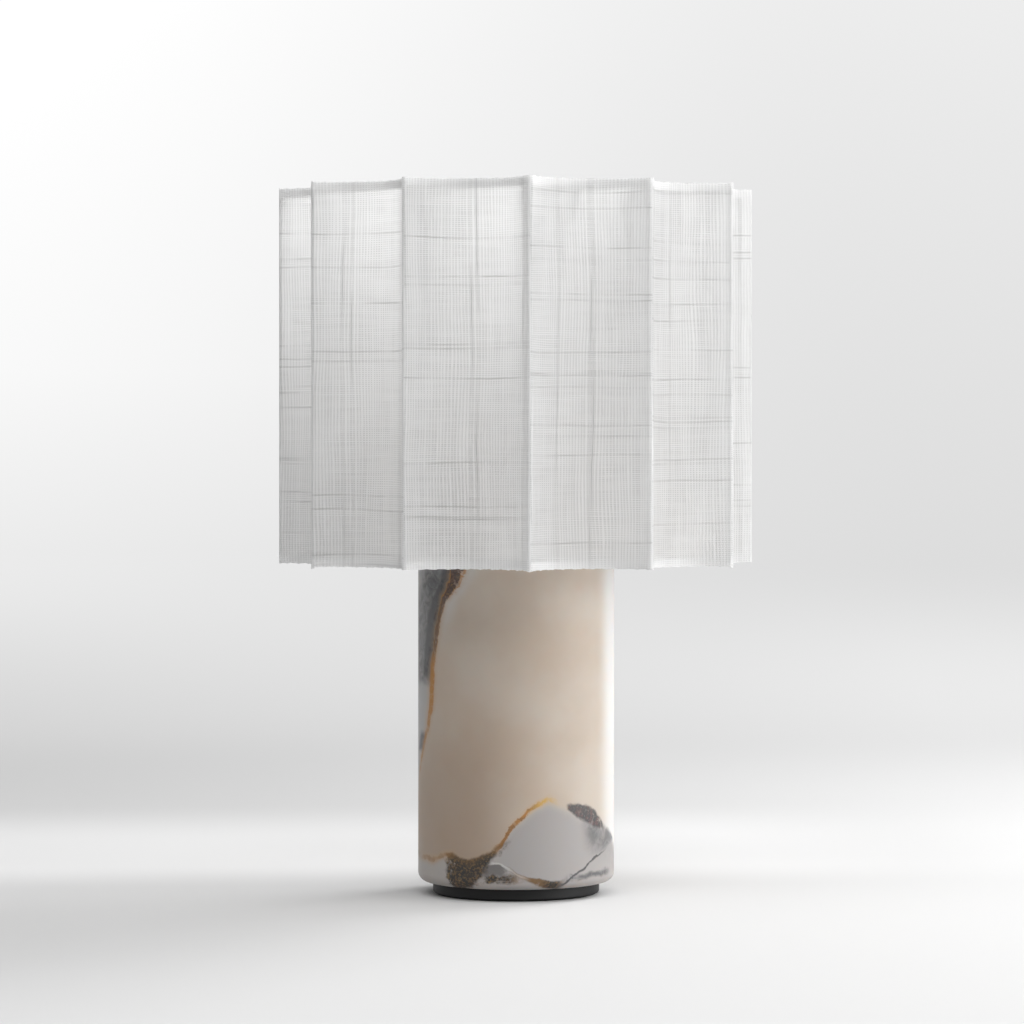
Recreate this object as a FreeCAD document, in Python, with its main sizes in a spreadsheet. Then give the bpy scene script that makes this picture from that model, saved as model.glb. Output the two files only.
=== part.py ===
"""Table lamp with a round stone column and a fluted linen shade.

The lamp stands on Z = 0 with its axis on Z, and the front ridge of the shade points to -Y.
A steel foot closes the bored stone from below. A threaded tube ties the stone, a cap plate,
the harp saddle and the lampholder together. The shade hangs from the swivel stud of the harp.
"""
import FreeCAD, Part
import math
import os

import Sketcher

# Every driving size, in millimetres, degrees or counts.
SIZES = {
    # Gaps and overruns
    "overrun": 1.0,
    "slip_gap": 0.05,
    "glue_gap": 0.1,
    "face_gap": 0.3,
    # Foot
    "pad_radius": 50.5,
    "pad_thickness": 2.0,
    "pad_proud": 1.0,
    "foot_radius": 53.0,
    "foot_thickness": 7.0,
    "foot_edge_chamfer": 0.6,
    "foot_screw_count": 3,
    "foot_screw_circle": 40.0,
    "foot_screw_radius": 2.0,
    "foot_screw_length": 14.0,
    "foot_screw_head": 3.8,
    "insert_radius": 3.2,
    "insert_length": 9.5,
    # Stone column
    "stone_radius": 62.5,
    "stone_height": 215.0,
    "stone_bottom_round": 6.0,
    "stone_top_round": 2.5,
    "stone_bore": 5.6,
    "cavity_radius": 24.0,
    "cavity_depth": 40.0,
    # Cord inlet at the back of the stone
    "inlet_height": 17.0,
    "grommet_bore": 3.3,
    "grommet_body": 4.6,
    "grommet_flange": 7.0,
    "grommet_flange_thickness": 2.0,
    "grommet_lip": 0.8,
    "grommet_length": 12.0,
    # Threaded tube, washer and nuts
    "tube_radius": 4.95,
    "tube_bore": 3.6,
    "tube_tail": 4.0,
    "washer_radius": 19.0,
    "washer_thickness": 3.0,
    "nut_flats": 14.0,
    "nut_height": 5.0,
    # Cap plate on the stone
    "cap_radius": 32.0,
    "cap_thickness": 3.0,
    "cap_edge_chamfer": 0.8,
    # Harp saddle
    "saddle_width": 14.0,
    "saddle_neck": 7.0,
    "saddle_thickness": 1.5,
    "saddle_rise": 10.0,
    "saddle_bend": 2.0,
    "rolled_end_wall": 1.1,
    "rolled_end_height": 14.0,
    "rolled_end_seat": 1.0,
    "rolled_end_slit": 1.6,
    # Sleeves that lock the harp
    "sleeve_wall": 1.1,
    "sleeve_crown": 4.0,
    "sleeve_chamfer": 0.6,
    # Harp
    "harp_wire": 1.8,
    "harp_leg_offset": 29.0,
    "harp_straight": 34.0,
    "harp_flare": 55.0,
    "harp_half_width": 57.0,
    "harp_height": 182.0,
    "eye_radius": 6.5,
    "eye_thickness": 4.2,
    # Swivel stud at the top of the harp
    "pin_radius": 2.0,
    "rivet_radius": 3.4,
    "rivet_height": 1.0,
    "seat_radius": 7.0,
    "seat_thickness": 2.0,
    "stud_radius": 3.175,
    "stud_length": 14.0,
    "stud_chamfer": 0.6,
    # Shade frame
    "flute_count": 12,
    "ridge_radius": 151.0,
    "flute_depth": 20.5,
    "shade_height": 238.0,
    "spider_drop": 26.4,
    "frame_wire": 1.25,
    "strip_height": 4.0,
    "linen_gap": 0.3,
    "linen_thickness": 0.65,
    "linen_overhang": 0.65,
    "hub_radius": 12.0,
    "hub_bore": 3.6,
    "hub_thickness": 3.6,
    "arm_count": 3,
    "arm_radius": 1.6,
    "arm_bend": 12.0,
    # Finial
    "finial_insert_radius": 5.0,
    "finial_insert_bore": 3.25,
    "finial_insert_length": 10.0,
    "finial_radius": 8.0,
    "finial_height": 18.0,
    "finial_edge_round": 2.5,
    "finial_well": 15.0,
    # Lampholder
    "neck_radius": 7.5,
    "neck_height": 6.5,
    "cup_radius": 18.0,
    "cup_cone": 8.5,
    "cup_height": 23.0,
    "cup_wall": 0.8,
    "shell_wall": 0.7,
    "shell_entry": 5.0,
    "shell_top": 58.5,
    "shell_lip": 14.8,
    "liner_wall": 0.8,
    "core_radius": 15.0,
    "core_bottom": 13.6,
    "core_top": 38.0,
    "core_flat": 12.0,
    "screw_shell_radius": 14.1,
    "screw_shell_wall": 0.5,
    "screw_shell_top": 57.5,
    "screw_shell_mouth": 6.0,
    "contact_foot": 3.4,
    "contact_ramp": 3.0,
    "contact_reach": 2.5,
    "contact_rise": 1.4,
    "contact_thickness": 0.6,
    "contact_width": 5.0,
    "terminal_head": 2.8,
    "terminal_head_height": 2.2,
    "terminal_shank": 1.5,
    "terminal_length": 6.0,
    # Turn switch
    "switch_height": 27.0,
    "switch_shaft": 1.75,
    "switch_shaft_depth": 9.0,
    "switch_shaft_reach": 18.0,
    "switch_window": 2.6,
    "knob_radius": 6.0,
    "knob_length": 14.0,
    "knob_width": 6.6,
    "knob_cover": 9.0,
    # Bulb
    "contact_button_radius": 4.5,
    "contact_button_height": 1.4,
    "bulb_glaze_height": 4.2,
    "bulb_cap_radius": 13.1,
    "bulb_cap_wall": 0.6,
    "bulb_cap_height": 20.5,
    "bulb_cap_chamfer": 1.5,
    "bulb_neck_radius": 12.2,
    "bulb_neck_entry": 16.0,
    "bulb_neck_rise": 4.0,
    "bulb_radius": 30.0,
    "bulb_height": 107.0,
    "bulb_wall": 0.8,
    "stem_radius": 2.5,
    "stem_collar": 6.5,
    "stem_disc_thickness": 1.2,
    "filament_count": 4,
    "filament_circle": 5.0,
    "filament_radius": 0.9,
    "filament_length": 38.0,
}


class Size:
    """A size that knows its number and the formula that gives it from the sheet."""

    def __init__(self, formula, number):
        self.formula = formula
        self.number = number

    def __add__(self, other):
        other = as_size(other)
        return Size(f"({self.formula} + {other.formula})", self.number + other.number)

    def __sub__(self, other):
        other = as_size(other)
        return Size(f"({self.formula} - {other.formula})", self.number - other.number)

    def __mul__(self, other):
        other = as_size(other)
        return Size(f"({self.formula} * {other.formula})", self.number * other.number)

    def __truediv__(self, other):
        other = as_size(other)
        return Size(f"({self.formula} / {other.formula})", self.number / other.number)

    def __neg__(self):
        return ZERO - self

    __radd__ = __add__
    __rmul__ = __mul__


def as_size(value):
    return value if isinstance(value, Size) else Size(repr(value), value)


def root(value):
    return Size(f"sqrt({value.formula})", math.sqrt(value.number))


def cosine(angle):
    return Size(f"cos({angle.formula} * 1 deg)", math.cos(math.radians(angle.number)))


def sine(angle):
    return Size(f"sin({angle.formula} * 1 deg)", math.sin(math.radians(angle.number)))


class Sheet:
    """Reads the sizes by name, as sheet.stone_radius."""

    def __getattr__(self, alias):
        return Size(f"Sizes.{alias}", SIZES[alias])


ZERO = Size("0", 0)
HALF_TURN = Size("180", 180)
FULL_TURN = Size("360", 360)
sheet = Sheet()
doc = FreeCAD.newDocument("TableLamp")
pieces = []


def fill_sheet():
    cells = doc.addObject("Spreadsheet::Sheet", "Sizes")
    for row, (alias, number) in enumerate(SIZES.items(), start=1):
        cells.set(f"A{row}", alias)
        cells.set(f"B{row}", str(number))
        cells.setAlias(f"B{row}", alias)
    doc.recompute()


# Drawing and shaping, shared by the pieces

def bind(item, **sizes):
    """Ties properties of an object to the sheet."""
    for name, size in sizes.items():
        item.setExpression(name, size.formula)
    return item


def place(item, x=ZERO, y=ZERO, z=ZERO, axis=(0, 0, 1), turn=ZERO):
    """Puts an object at x, y, z, turned about an axis through its own origin."""
    spin = FreeCAD.Rotation(FreeCAD.Vector(*axis), turn.number)
    item.Placement = FreeCAD.Placement(FreeCAD.Vector(x.number, y.number, z.number), spin)
    item.setExpression("Placement.Base.x", x.formula)
    item.setExpression("Placement.Base.y", y.formula)
    item.setExpression("Placement.Base.z", z.formula)
    return item


def keep(item, label):
    """Names a finished piece, which also names its file."""
    item.Label = label
    pieces.append(item)
    return item


def origin_item(body, role):
    return [item for item in body.Origin.OriginFeatures if item.Role == role][0]


def new_sketch(body, plane, name, lift=ZERO):
    sketch = body.newObject("Sketcher::SketchObject", name)
    sketch.AttachmentSupport = [(origin_item(body, plane), "")]
    sketch.MapMode = "FlatFace"
    sketch.setExpression("AttachmentOffset.Base.z", lift.formula)
    return sketch


def arc_between(start, end, radius, ccw):
    """The short arc from start to end, turning left when ccw is true."""
    chord = end - start
    side = FreeCAD.Vector(-chord.y, chord.x, 0)
    side.normalize()
    height = math.sqrt(max(radius ** 2 - (chord.Length / 2) ** 2, 0))
    centre = (start + end) / 2 + side * (height if ccw else -height)
    first, last = (start, end) if ccw else (end, start)
    angles = [math.atan2(p.y - centre.y, p.x - centre.x) for p in (first, last)]
    circle = Part.Circle(centre, FreeCAD.Vector(0, 0, 1), radius)
    return Part.ArcOfCircle(circle, angles[0], angles[1])


def draw(sketch, start, runs, closed=True):
    """An outline through places bound to the sheet.

    A run is (x, y) for a straight one, or (x, y, radius, ccw) for an arc. The last run of a closed
    outline comes back to its start.
    """
    places = [start] + [run[:2] for run in runs]
    spots = [FreeCAD.Vector(x.number, y.number, 0) for x, y in places]
    ends = []
    for index, run in enumerate(runs):
        if len(run) > 2:
            radius, ccw = run[2:]
            edge = arc_between(spots[index], spots[index + 1], radius.number, ccw)
            ends.append((1, 2) if ccw else (2, 1))
        else:
            edge = Part.LineSegment(spots[index], spots[index + 1])
            ends.append((1, 2))
        sketch.addGeometry(edge, False)
    joints = [(index, index + 1) for index in range(len(runs) - 1)]
    if closed:
        joints.append((len(runs) - 1, 0))
    for before, after in joints:
        sketch.addConstraint(
            Sketcher.Constraint("Coincident", before, ends[before][1], after, ends[after][0])
        )
    for index in range(len(runs)):
        hold_point(sketch, index, ends[index][0], places[index], f"place{index}")
    if not closed:
        hold_point(sketch, len(runs) - 1, ends[-1][1], places[-1], "place_end")
    for index, run in enumerate(runs):
        if len(run) > 2:
            number = sketch.addConstraint(Sketcher.Constraint("Radius", index, run[2].number))
            sketch.renameConstraint(number, f"radius{index}")
            sketch.setExpression(f"Constraints.radius{index}", run[2].formula)
    return sketch


def hold_point(sketch, edge, end, spot, name):
    """Fixes one end of an edge by its two distances from the sketch's origin."""
    for axis, size in zip("XY", spot):
        rule = Sketcher.Constraint("Distance" + axis, -1, 1, edge, end, size.number)
        number = sketch.addConstraint(rule)
        sketch.renameConstraint(number, f"{name}{axis}")
        sketch.setExpression(f"Constraints.{name}{axis}", size.formula)


def draw_circle(sketch, x, y, radius):
    centre = FreeCAD.Vector(x.number, y.number, 0)
    sketch.addGeometry(Part.Circle(centre, FreeCAD.Vector(0, 0, 1), radius.number), False)
    hold_point(sketch, 0, 3, (x, y), "centre")
    number = sketch.addConstraint(Sketcher.Constraint("Radius", 0, radius.number))
    sketch.renameConstraint(number, "radius")
    sketch.setExpression("Constraints.radius", radius.formula)
    return sketch


def new_body(name):
    return doc.addObject("PartDesign::Body", name)


def turned(name, start, runs):
    """A body turned about Z from its outline in X and Z."""
    body = new_body(name)
    sketch = draw(new_sketch(body, "XZ_Plane", f"{name}_outline"), start, runs)
    turning = body.newObject("PartDesign::Revolution", f"{name}_turning")
    turning.Profile = sketch
    turning.ReferenceAxis = (sketch, ["V_Axis"])
    turning.Angle = 360
    return body


def padded(body, sketch, length, midplane=False):
    pad = body.newObject("PartDesign::Pad", f"{sketch.Name}_pad")
    pad.Profile = sketch
    pad.SideType = "Symmetric" if midplane else "One side"
    return bind(pad, Length=length)


def repeated(body, feature, count):
    """Repeats a feature evenly about the body's Z axis."""
    pattern = body.newObject("PartDesign::PolarPattern", f"{feature.Name}_pattern")
    pattern.Originals = [feature]
    pattern.Axis = (origin_item(body, "Z_Axis"), [""])
    pattern.Angle = 360
    bind(pattern, Occurrences=count)
    body.Tip = pattern
    return body


def swept(body, path, section):
    pipe = body.newObject("PartDesign::AdditivePipe", f"{path.Name}_pipe")
    pipe.Profile = section
    pipe.Spine = (path, [f"Edge{index + 1}" for index in range(path.GeometryCount)])
    return pipe


def rod(name, radius, height, **where):
    cylinder = doc.addObject("Part::Cylinder", name)
    bind(cylinder, Radius=radius, Height=height)
    return place(cylinder, **where)


def cone(name, low_radius, high_radius, height, **where):
    item = doc.addObject("Part::Cone", name)
    bind(item, Radius1=low_radius, Radius2=high_radius, Height=height)
    return place(item, **where)


def block(name, length, width, height, x=ZERO, y=ZERO, z=ZERO):
    """A box centred on x and y that stands on z."""
    box = doc.addObject("Part::Box", name)
    bind(box, Length=length, Width=width, Height=height)
    return place(box, x=x - length / 2, y=y - width / 2, z=z)


def joined(name, items):
    fuse = doc.addObject("Part::MultiFuse", name)
    fuse.Shapes = items
    return fuse


def cut(name, base, tools):
    tool = tools[0] if len(tools) == 1 else joined(f"{name}_tools", tools)
    item = doc.addObject("Part::Cut", name)
    item.Base = base
    item.Tool = tool
    return item


def shared(name, items):
    common = doc.addObject("Part::MultiCommon", name)
    common.Shapes = items
    return common


def group(name, items):
    compound = doc.addObject("Part::Compound", name)
    compound.Links = items
    return compound


def collar(name, radius, bore, height, **where):
    """A plain ring."""
    base = rod(f"{name}_blank", radius, height, **where)
    where["z"] = where.get("z", ZERO) - sheet.overrun
    hole = rod(f"{name}_bore", bore, height + sheet.overrun * 2, **where)
    return cut(name, base, [hole])


def hex_nut(name, z):
    """A chamfered hexagon nut on the threaded tube."""
    corner = sheet.nut_flats / 2 / cosine(HALF_TURN / 6)
    prism = doc.addObject("Part::Prism", f"{name}_hexagon")
    prism.Polygon = 6
    bind(prism, Circumradius=corner, Height=sheet.nut_height)
    place(prism, z=z)
    rounding = cone(
        f"{name}_rounding", corner + sheet.nut_height / 2, sheet.nut_flats / 2, sheet.nut_height, z=z
    )
    hole = rod(
        f"{name}_hole",
        sheet.tube_radius + sheet.slip_gap,
        sheet.nut_height + sheet.overrun * 2,
        z=z - sheet.overrun,
    )
    return cut(name, shared(f"{name}_blank", [prism, rounding]), [hole])


# Heights of the stack, from the floor up
foot_z = sheet.pad_proud
stone_z = foot_z + sheet.foot_thickness
cavity_top_z = stone_z + sheet.cavity_depth
washer_z = cavity_top_z - sheet.washer_thickness
low_nut_z = washer_z - sheet.nut_height
tube_z = low_nut_z - sheet.tube_tail
cap_z = stone_z + sheet.stone_height
saddle_z = cap_z + sheet.cap_thickness
high_nut_z = saddle_z + sheet.saddle_thickness
holder_z = high_nut_z + sheet.nut_height
harp_z = saddle_z + sheet.saddle_rise
eye_z = harp_z + sheet.harp_height - sheet.eye_thickness / 2
hub_z = eye_z + sheet.eye_thickness + sheet.slip_gap + sheet.seat_thickness
shade_z = hub_z + sheet.spider_drop - sheet.shade_height
finial_z = hub_z + sheet.hub_thickness
bulb_z = holder_z + sheet.core_top + sheet.contact_rise + sheet.contact_thickness


# Foot

def foot_screw_shapes(name, gap):
    """The foot's countersunk screws, or with a gap the holes that they need."""
    screws = []
    head_z = foot_z + sheet.pad_thickness - sheet.pad_proud
    for index in range(SIZES["foot_screw_count"]):
        angle = FULL_TURN / sheet.foot_screw_count * index
        x = sheet.foot_screw_circle * cosine(angle)
        y = sheet.foot_screw_circle * sine(angle)
        head_height = sheet.foot_screw_head - sheet.foot_screw_radius
        head = cone(
            f"{name}_head{index}",
            sheet.foot_screw_head + gap,
            sheet.foot_screw_radius + gap,
            head_height,
            x=x,
            y=y,
            z=head_z,
        )
        shank = rod(
            f"{name}_shank{index}",
            sheet.foot_screw_radius + gap,
            sheet.foot_screw_length,
            x=x,
            y=y,
            z=head_z,
        )
        screws.append(joined(f"{name}_screw{index}", [head, shank]))
    return screws


def make_foot():
    keep(rod("foot_pad", sheet.pad_radius, sheet.pad_thickness), "foot_pad")
    recess_radius = sheet.pad_radius + sheet.face_gap
    recess = sheet.pad_thickness - sheet.pad_proud
    radius = sheet.foot_radius
    chamfer = sheet.foot_edge_chamfer
    top = sheet.foot_thickness
    disc = turned(
        "foot_disc",
        (ZERO, recess),
        [
            (recess_radius, recess),
            (recess_radius, ZERO),
            (radius - chamfer, ZERO),
            (radius, chamfer),
            (radius, top - chamfer),
            (radius - chamfer, top),
            (ZERO, top),
            (ZERO, recess),
        ],
    )
    place(disc, z=foot_z)
    keep(cut("foot_plate", disc, foot_screw_shapes("foot_hole", sheet.glue_gap)), "foot_plate")
    keep(group("foot_screws", foot_screw_shapes("foot", ZERO)), "foot_screws")
    inserts = []
    for index in range(SIZES["foot_screw_count"]):
        angle = FULL_TURN / sheet.foot_screw_count * index
        inserts.append(
            collar(
                f"insert{index}",
                sheet.insert_radius,
                sheet.foot_screw_radius + sheet.slip_gap,
                sheet.insert_length,
                x=sheet.foot_screw_circle * cosine(angle),
                y=sheet.foot_screw_circle * sine(angle),
                z=stone_z,
            )
        )
    keep(group("foot_inserts", inserts), "foot_inserts")


# Stone column and the cord inlet

def inlet_seat():
    """How far behind the axis the grommet's flange sits, sunk so that its face is flush."""
    reach = sheet.grommet_flange + sheet.face_gap
    edge = root(sheet.stone_radius * sheet.stone_radius - reach * reach)
    return edge - sheet.grommet_flange_thickness


def make_stone():
    radius = sheet.stone_radius
    top = sheet.stone_height
    low = sheet.stone_bottom_round
    high = sheet.stone_top_round
    column = turned(
        "stone_turning",
        (sheet.stone_bore, sheet.cavity_depth),
        [
            (sheet.cavity_radius, sheet.cavity_depth),
            (sheet.cavity_radius, ZERO),
            (radius - low, ZERO),
            (radius, low, low, True),
            (radius, top - high),
            (radius - high, top, high, True),
            (sheet.stone_bore, top),
            (sheet.stone_bore, sheet.cavity_depth),
        ],
    )
    place(column, z=stone_z)
    inlet_z = stone_z + sheet.inlet_height
    backward = {"axis": (1, 0, 0), "turn": -HALF_TURN / 2}
    tools = [
        rod("inlet_hole", sheet.grommet_body + sheet.glue_gap, radius, z=inlet_z, **backward),
        rod(
            "inlet_seat",
            sheet.grommet_flange + sheet.face_gap,
            radius,
            y=inlet_seat(),
            z=inlet_z,
            **backward,
        ),
    ]
    for index in range(SIZES["foot_screw_count"]):
        angle = FULL_TURN / sheet.foot_screw_count * index
        tools.append(
            rod(
                f"insert_hole{index}",
                sheet.insert_radius + sheet.glue_gap,
                sheet.foot_screw_length + sheet.overrun,
                x=sheet.foot_screw_circle * cosine(angle),
                y=sheet.foot_screw_circle * sine(angle),
                z=stone_z - sheet.overrun,
            )
        )
    keep(cut("stone_column", column, tools), "stone_column")

    bore = sheet.grommet_bore
    flange = sheet.grommet_flange
    face = sheet.grommet_flange_thickness
    lip = sheet.grommet_lip
    grommet = turned(
        "cord_grommet",
        (bore, -sheet.grommet_length),
        [
            (sheet.grommet_body, -sheet.grommet_length),
            (sheet.grommet_body, ZERO),
            (flange, ZERO),
            (flange, face - lip),
            (flange - lip, face),
            (bore + lip, face),
            (bore, face - lip),
            (bore, -sheet.grommet_length),
        ],
    )
    keep(place(grommet, y=inlet_seat(), z=inlet_z, **backward), "cord_grommet")


# Threaded tube with its washer, nuts and cap plate

def make_spine():
    bore = sheet.tube_radius + sheet.slip_gap
    washer = collar("clamp_washer", sheet.washer_radius, bore, sheet.washer_thickness, z=washer_z)
    keep(washer, "clamp_washer")
    keep(hex_nut("clamp_nut", low_nut_z), "clamp_nut")
    tube_top = holder_z + sheet.neck_height
    keep(
        collar("threaded_tube", sheet.tube_radius, sheet.tube_bore, tube_top - tube_z, z=tube_z),
        "threaded_tube",
    )
    radius = sheet.cap_radius
    top = sheet.cap_thickness
    edge = sheet.cap_edge_chamfer
    cap = turned(
        "column_cap",
        (bore, ZERO),
        [
            (radius, ZERO),
            (radius, top - edge),
            (radius - edge, top),
            (bore, top),
            (bore, ZERO),
        ],
    )
    keep(place(cap, z=cap_z), "column_cap")
    keep(hex_nut("saddle_nut", high_nut_z), "saddle_nut")


# Harp saddle, sleeves, harp and swivel stud

def make_saddle():
    """A bent strip whose ends are rolled into split sockets for the harp's legs."""
    wall = sheet.saddle_thickness
    inner_bend = sheet.saddle_bend
    outer_bend = inner_bend + wall
    outside = sheet.harp_leg_offset + wall / 2
    inside = sheet.harp_leg_offset - wall / 2
    rise = sheet.saddle_rise
    body = new_body("saddle_strip")
    sketch = new_sketch(body, "XZ_Plane", "saddle_section")
    draw(
        sketch,
        (-outside, rise),
        [
            (-outside, outer_bend),
            (outer_bend - outside, ZERO, outer_bend, True),
            (outside - outer_bend, ZERO),
            (outside, outer_bend, outer_bend, True),
            (outside, rise),
            (inside, rise),
            (inside, outer_bend),
            (inside - inner_bend, wall, inner_bend, False),
            (inner_bend - inside, wall),
            (-inside, outer_bend, inner_bend, False),
            (-inside, rise),
            (-outside, rise),
        ],
    )
    padded(body, sketch, sheet.saddle_width, midplane=True)
    place(body, z=saddle_z)

    side = new_body("saddle_side")
    half = sheet.saddle_width / 2
    neck = sheet.saddle_neck / 2
    shape = new_sketch(side, "YZ_Plane", "saddle_taper")
    draw(
        shape,
        (-half, ZERO),
        [(half, ZERO), (half, outer_bend), (neck, rise), (-neck, rise), (-half, outer_bend), (-half, ZERO)],
    )
    padded(side, shape, outside * 2 + sheet.overrun, midplane=True)
    place(side, z=saddle_z)
    strip = shared("saddle_tapered", [body, side])

    bore = sheet.harp_wire + sheet.slip_gap
    socket_height = sheet.rolled_end_height + sheet.rolled_end_seat
    sockets = []
    for name, direction in (("left", -1), ("right", 1)):
        middle = sheet.harp_leg_offset * direction
        ring = collar(
            f"rolled_end_{name}",
            bore + sheet.rolled_end_wall,
            bore,
            socket_height,
            x=middle,
            z=harp_z - sheet.rolled_end_seat,
        )
        slit = block(
            f"rolled_slit_{name}",
            bore + sheet.rolled_end_wall,
            sheet.rolled_end_slit,
            socket_height,
            x=middle - (bore + sheet.rolled_end_wall) / 2 * direction,
            z=harp_z + sheet.slip_gap,
        )
        sockets.append(cut(f"split_end_{name}", ring, [slit]))
    saddle = joined("saddle_blank", [strip] + sockets)
    hole = rod(
        "saddle_hole",
        sheet.tube_radius + sheet.slip_gap,
        wall + sheet.overrun * 2,
        z=saddle_z - sheet.overrun,
    )
    keep(cut("harp_saddle", saddle, [hole]), "harp_saddle")


def make_sleeve(name, direction):
    """A stepped sleeve that drops over a split socket and grips it."""
    wide = sheet.harp_wire + sheet.slip_gap * 2 + sheet.rolled_end_wall
    narrow = sheet.harp_wire + sheet.slip_gap
    outside = wide + sheet.sleeve_wall
    step = sheet.rolled_end_height - sheet.face_gap
    top = step + sheet.sleeve_crown
    edge = sheet.sleeve_chamfer
    sleeve = turned(
        f"{name}_body",
        (wide, ZERO),
        [
            (outside, ZERO),
            (outside, top - edge),
            (outside - edge, top),
            (narrow, top),
            (narrow, step),
            (wide, step),
            (wide, ZERO),
        ],
    )
    place(sleeve, x=sheet.harp_leg_offset * direction, z=harp_z + sheet.face_gap)
    keep(sleeve, name)


def make_harp():
    """A sprung wire bow with a forged eye at its crown."""
    leg = sheet.harp_leg_offset
    wide = sheet.harp_half_width
    low = sheet.harp_straight
    high = low + sheet.harp_flare
    shoulder = sheet.harp_height - wide
    spread = wide - leg
    bend = (spread * spread + sheet.harp_flare * sheet.harp_flare) / (spread * 4)
    middle = leg + spread / 2
    middle_z = low + sheet.harp_flare / 2
    body = new_body("harp_body")
    path = new_sketch(body, "XZ_Plane", "harp_path")
    draw(
        path,
        (leg, ZERO),
        [
            (leg, low),
            (middle, middle_z, bend, False),
            (wide, high, bend, True),
            (wide, shoulder),
            (ZERO, sheet.harp_height, wide, True),
            (-wide, shoulder, wide, True),
            (-wide, high),
            (-middle, middle_z, bend, True),
            (-leg, low, bend, False),
            (-leg, ZERO),
        ],
        closed=False,
    )
    section = draw_circle(new_sketch(body, "XY_Plane", "harp_wire"), leg, ZERO, sheet.harp_wire)
    swept(body, path, section)
    base = sheet.harp_height - sheet.eye_thickness / 2
    eye = new_sketch(body, "XY_Plane", "harp_eye", lift=base)
    draw_circle(eye, ZERO, ZERO, sheet.eye_radius)
    padded(body, eye, sheet.eye_thickness)
    place(body, z=harp_z)
    hole = rod(
        "eye_hole",
        sheet.pin_radius + sheet.slip_gap,
        sheet.eye_thickness + sheet.overrun * 2,
        z=eye_z - sheet.overrun,
    )
    keep(cut("harp_wire_bow", body, [hole]), "harp_bow")


def make_swivel():
    """The riveted stud that turns in the harp's eye and carries the shade."""
    gap = sheet.slip_gap
    seat = sheet.eye_thickness + gap
    shoulder = seat + sheet.seat_thickness
    top = shoulder + sheet.stud_length
    chamfer = sheet.stud_chamfer
    stud = turned(
        "swivel_stud",
        (ZERO, -gap - sheet.rivet_height),
        [
            (sheet.rivet_radius, -gap - sheet.rivet_height),
            (sheet.rivet_radius, -gap),
            (sheet.pin_radius, -gap),
            (sheet.pin_radius, seat),
            (sheet.seat_radius, seat),
            (sheet.seat_radius, shoulder),
            (sheet.stud_radius, shoulder),
            (sheet.stud_radius, top - chamfer),
            (sheet.stud_radius - chamfer, top),
            (ZERO, top),
            (ZERO, -gap - sheet.rivet_height),
        ],
    )
    keep(place(stud, z=eye_z), "swivel_stud")


# Shade. Its frame follows twelve concave arcs. The linen lies outside the frame at an even offset,
# so that it hollows between the ribs and turns round each rib into a sharp ridge.
half_flute = HALF_TURN / sheet.flute_count
linen_inner = sheet.frame_wire + sheet.linen_gap
linen_outer = linen_inner + sheet.linen_thickness
rib_radius = sheet.ridge_radius - linen_outer
rib_x = rib_radius * cosine(half_flute)
rib_y = rib_radius * sine(half_flute)
flute_arc = (rib_y * rib_y + sheet.flute_depth * sheet.flute_depth) / (sheet.flute_depth * 2)
flute_centre = rib_x - sheet.flute_depth + flute_arc
frame_middle = flute_centre - flute_arc
strip_z = shade_z + sheet.linen_overhang
top_strip_z = shade_z + sheet.shade_height - sheet.linen_overhang - sheet.strip_height


def tip_point(offset):
    """The point on the ridge at an offset outside the frame."""
    reach = rib_radius + offset
    return reach * cosine(half_flute), reach * sine(half_flute)


def tangent_point(offset):
    """Where the flute's arc, moved out by the offset, meets the turn round the rib."""
    share = (flute_arc - offset) / flute_arc
    return flute_centre - (flute_centre - rib_x) * share, rib_y * share


def mirrored(point):
    return point[0], -point[1]


def flute_strip_outline(sketch, width):
    """One flute of a strip ring, from ridge to ridge."""
    tip = tip_point(width)
    tangent = tangent_point(width)
    inner_arc = flute_arc + width
    sideways = flute_centre * sine(half_flute)
    depth = flute_centre * cosine(half_flute) - root(inner_arc * inner_arc - sideways * sideways)
    inner = (depth * cosine(half_flute), depth * sine(half_flute))
    return draw(
        sketch,
        mirrored(tip),
        [
            (*mirrored(tangent), width, True),
            (*tangent, flute_arc - width, False),
            (*tip, width, True),
            inner,
            (*mirrored(inner), inner_arc, True),
            mirrored(tip),
        ],
    )


def flute_linen_outline(sketch, inside, outside):
    """One gore of linen between two offsets from the frame, from ridge to ridge."""
    outer_tip = tip_point(outside)
    outer = tangent_point(outside)
    inner_tip = tip_point(inside)
    inner = tangent_point(inside)
    return draw(
        sketch,
        mirrored(outer_tip),
        [
            (*mirrored(outer), outside, True),
            (*outer, flute_arc - outside, False),
            (*outer_tip, outside, True),
            inner_tip,
            (*inner, inside, False),
            (*mirrored(inner), flute_arc - inside, True),
            (*mirrored(inner_tip), inside, False),
            mirrored(outer_tip),
        ],
    )


def make_strip_ring(name, z):
    body = new_body(f"{name}_body")
    sketch = flute_strip_outline(new_sketch(body, "XY_Plane", f"{name}_flute"), sheet.frame_wire)
    repeated(body, padded(body, sketch, sheet.strip_height), sheet.flute_count)
    keep(place(body, z=z, turn=half_flute), name)


def make_ribs():
    body = new_body("ribs")
    sketch = new_sketch(body, "XY_Plane", "rib_section")
    draw_circle(sketch, rib_radius, ZERO, sheet.frame_wire)
    length = top_strip_z - strip_z - sheet.strip_height
    repeated(body, padded(body, sketch, length), sheet.flute_count)
    keep(place(body, z=strip_z + sheet.strip_height), "shade_ribs")


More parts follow.
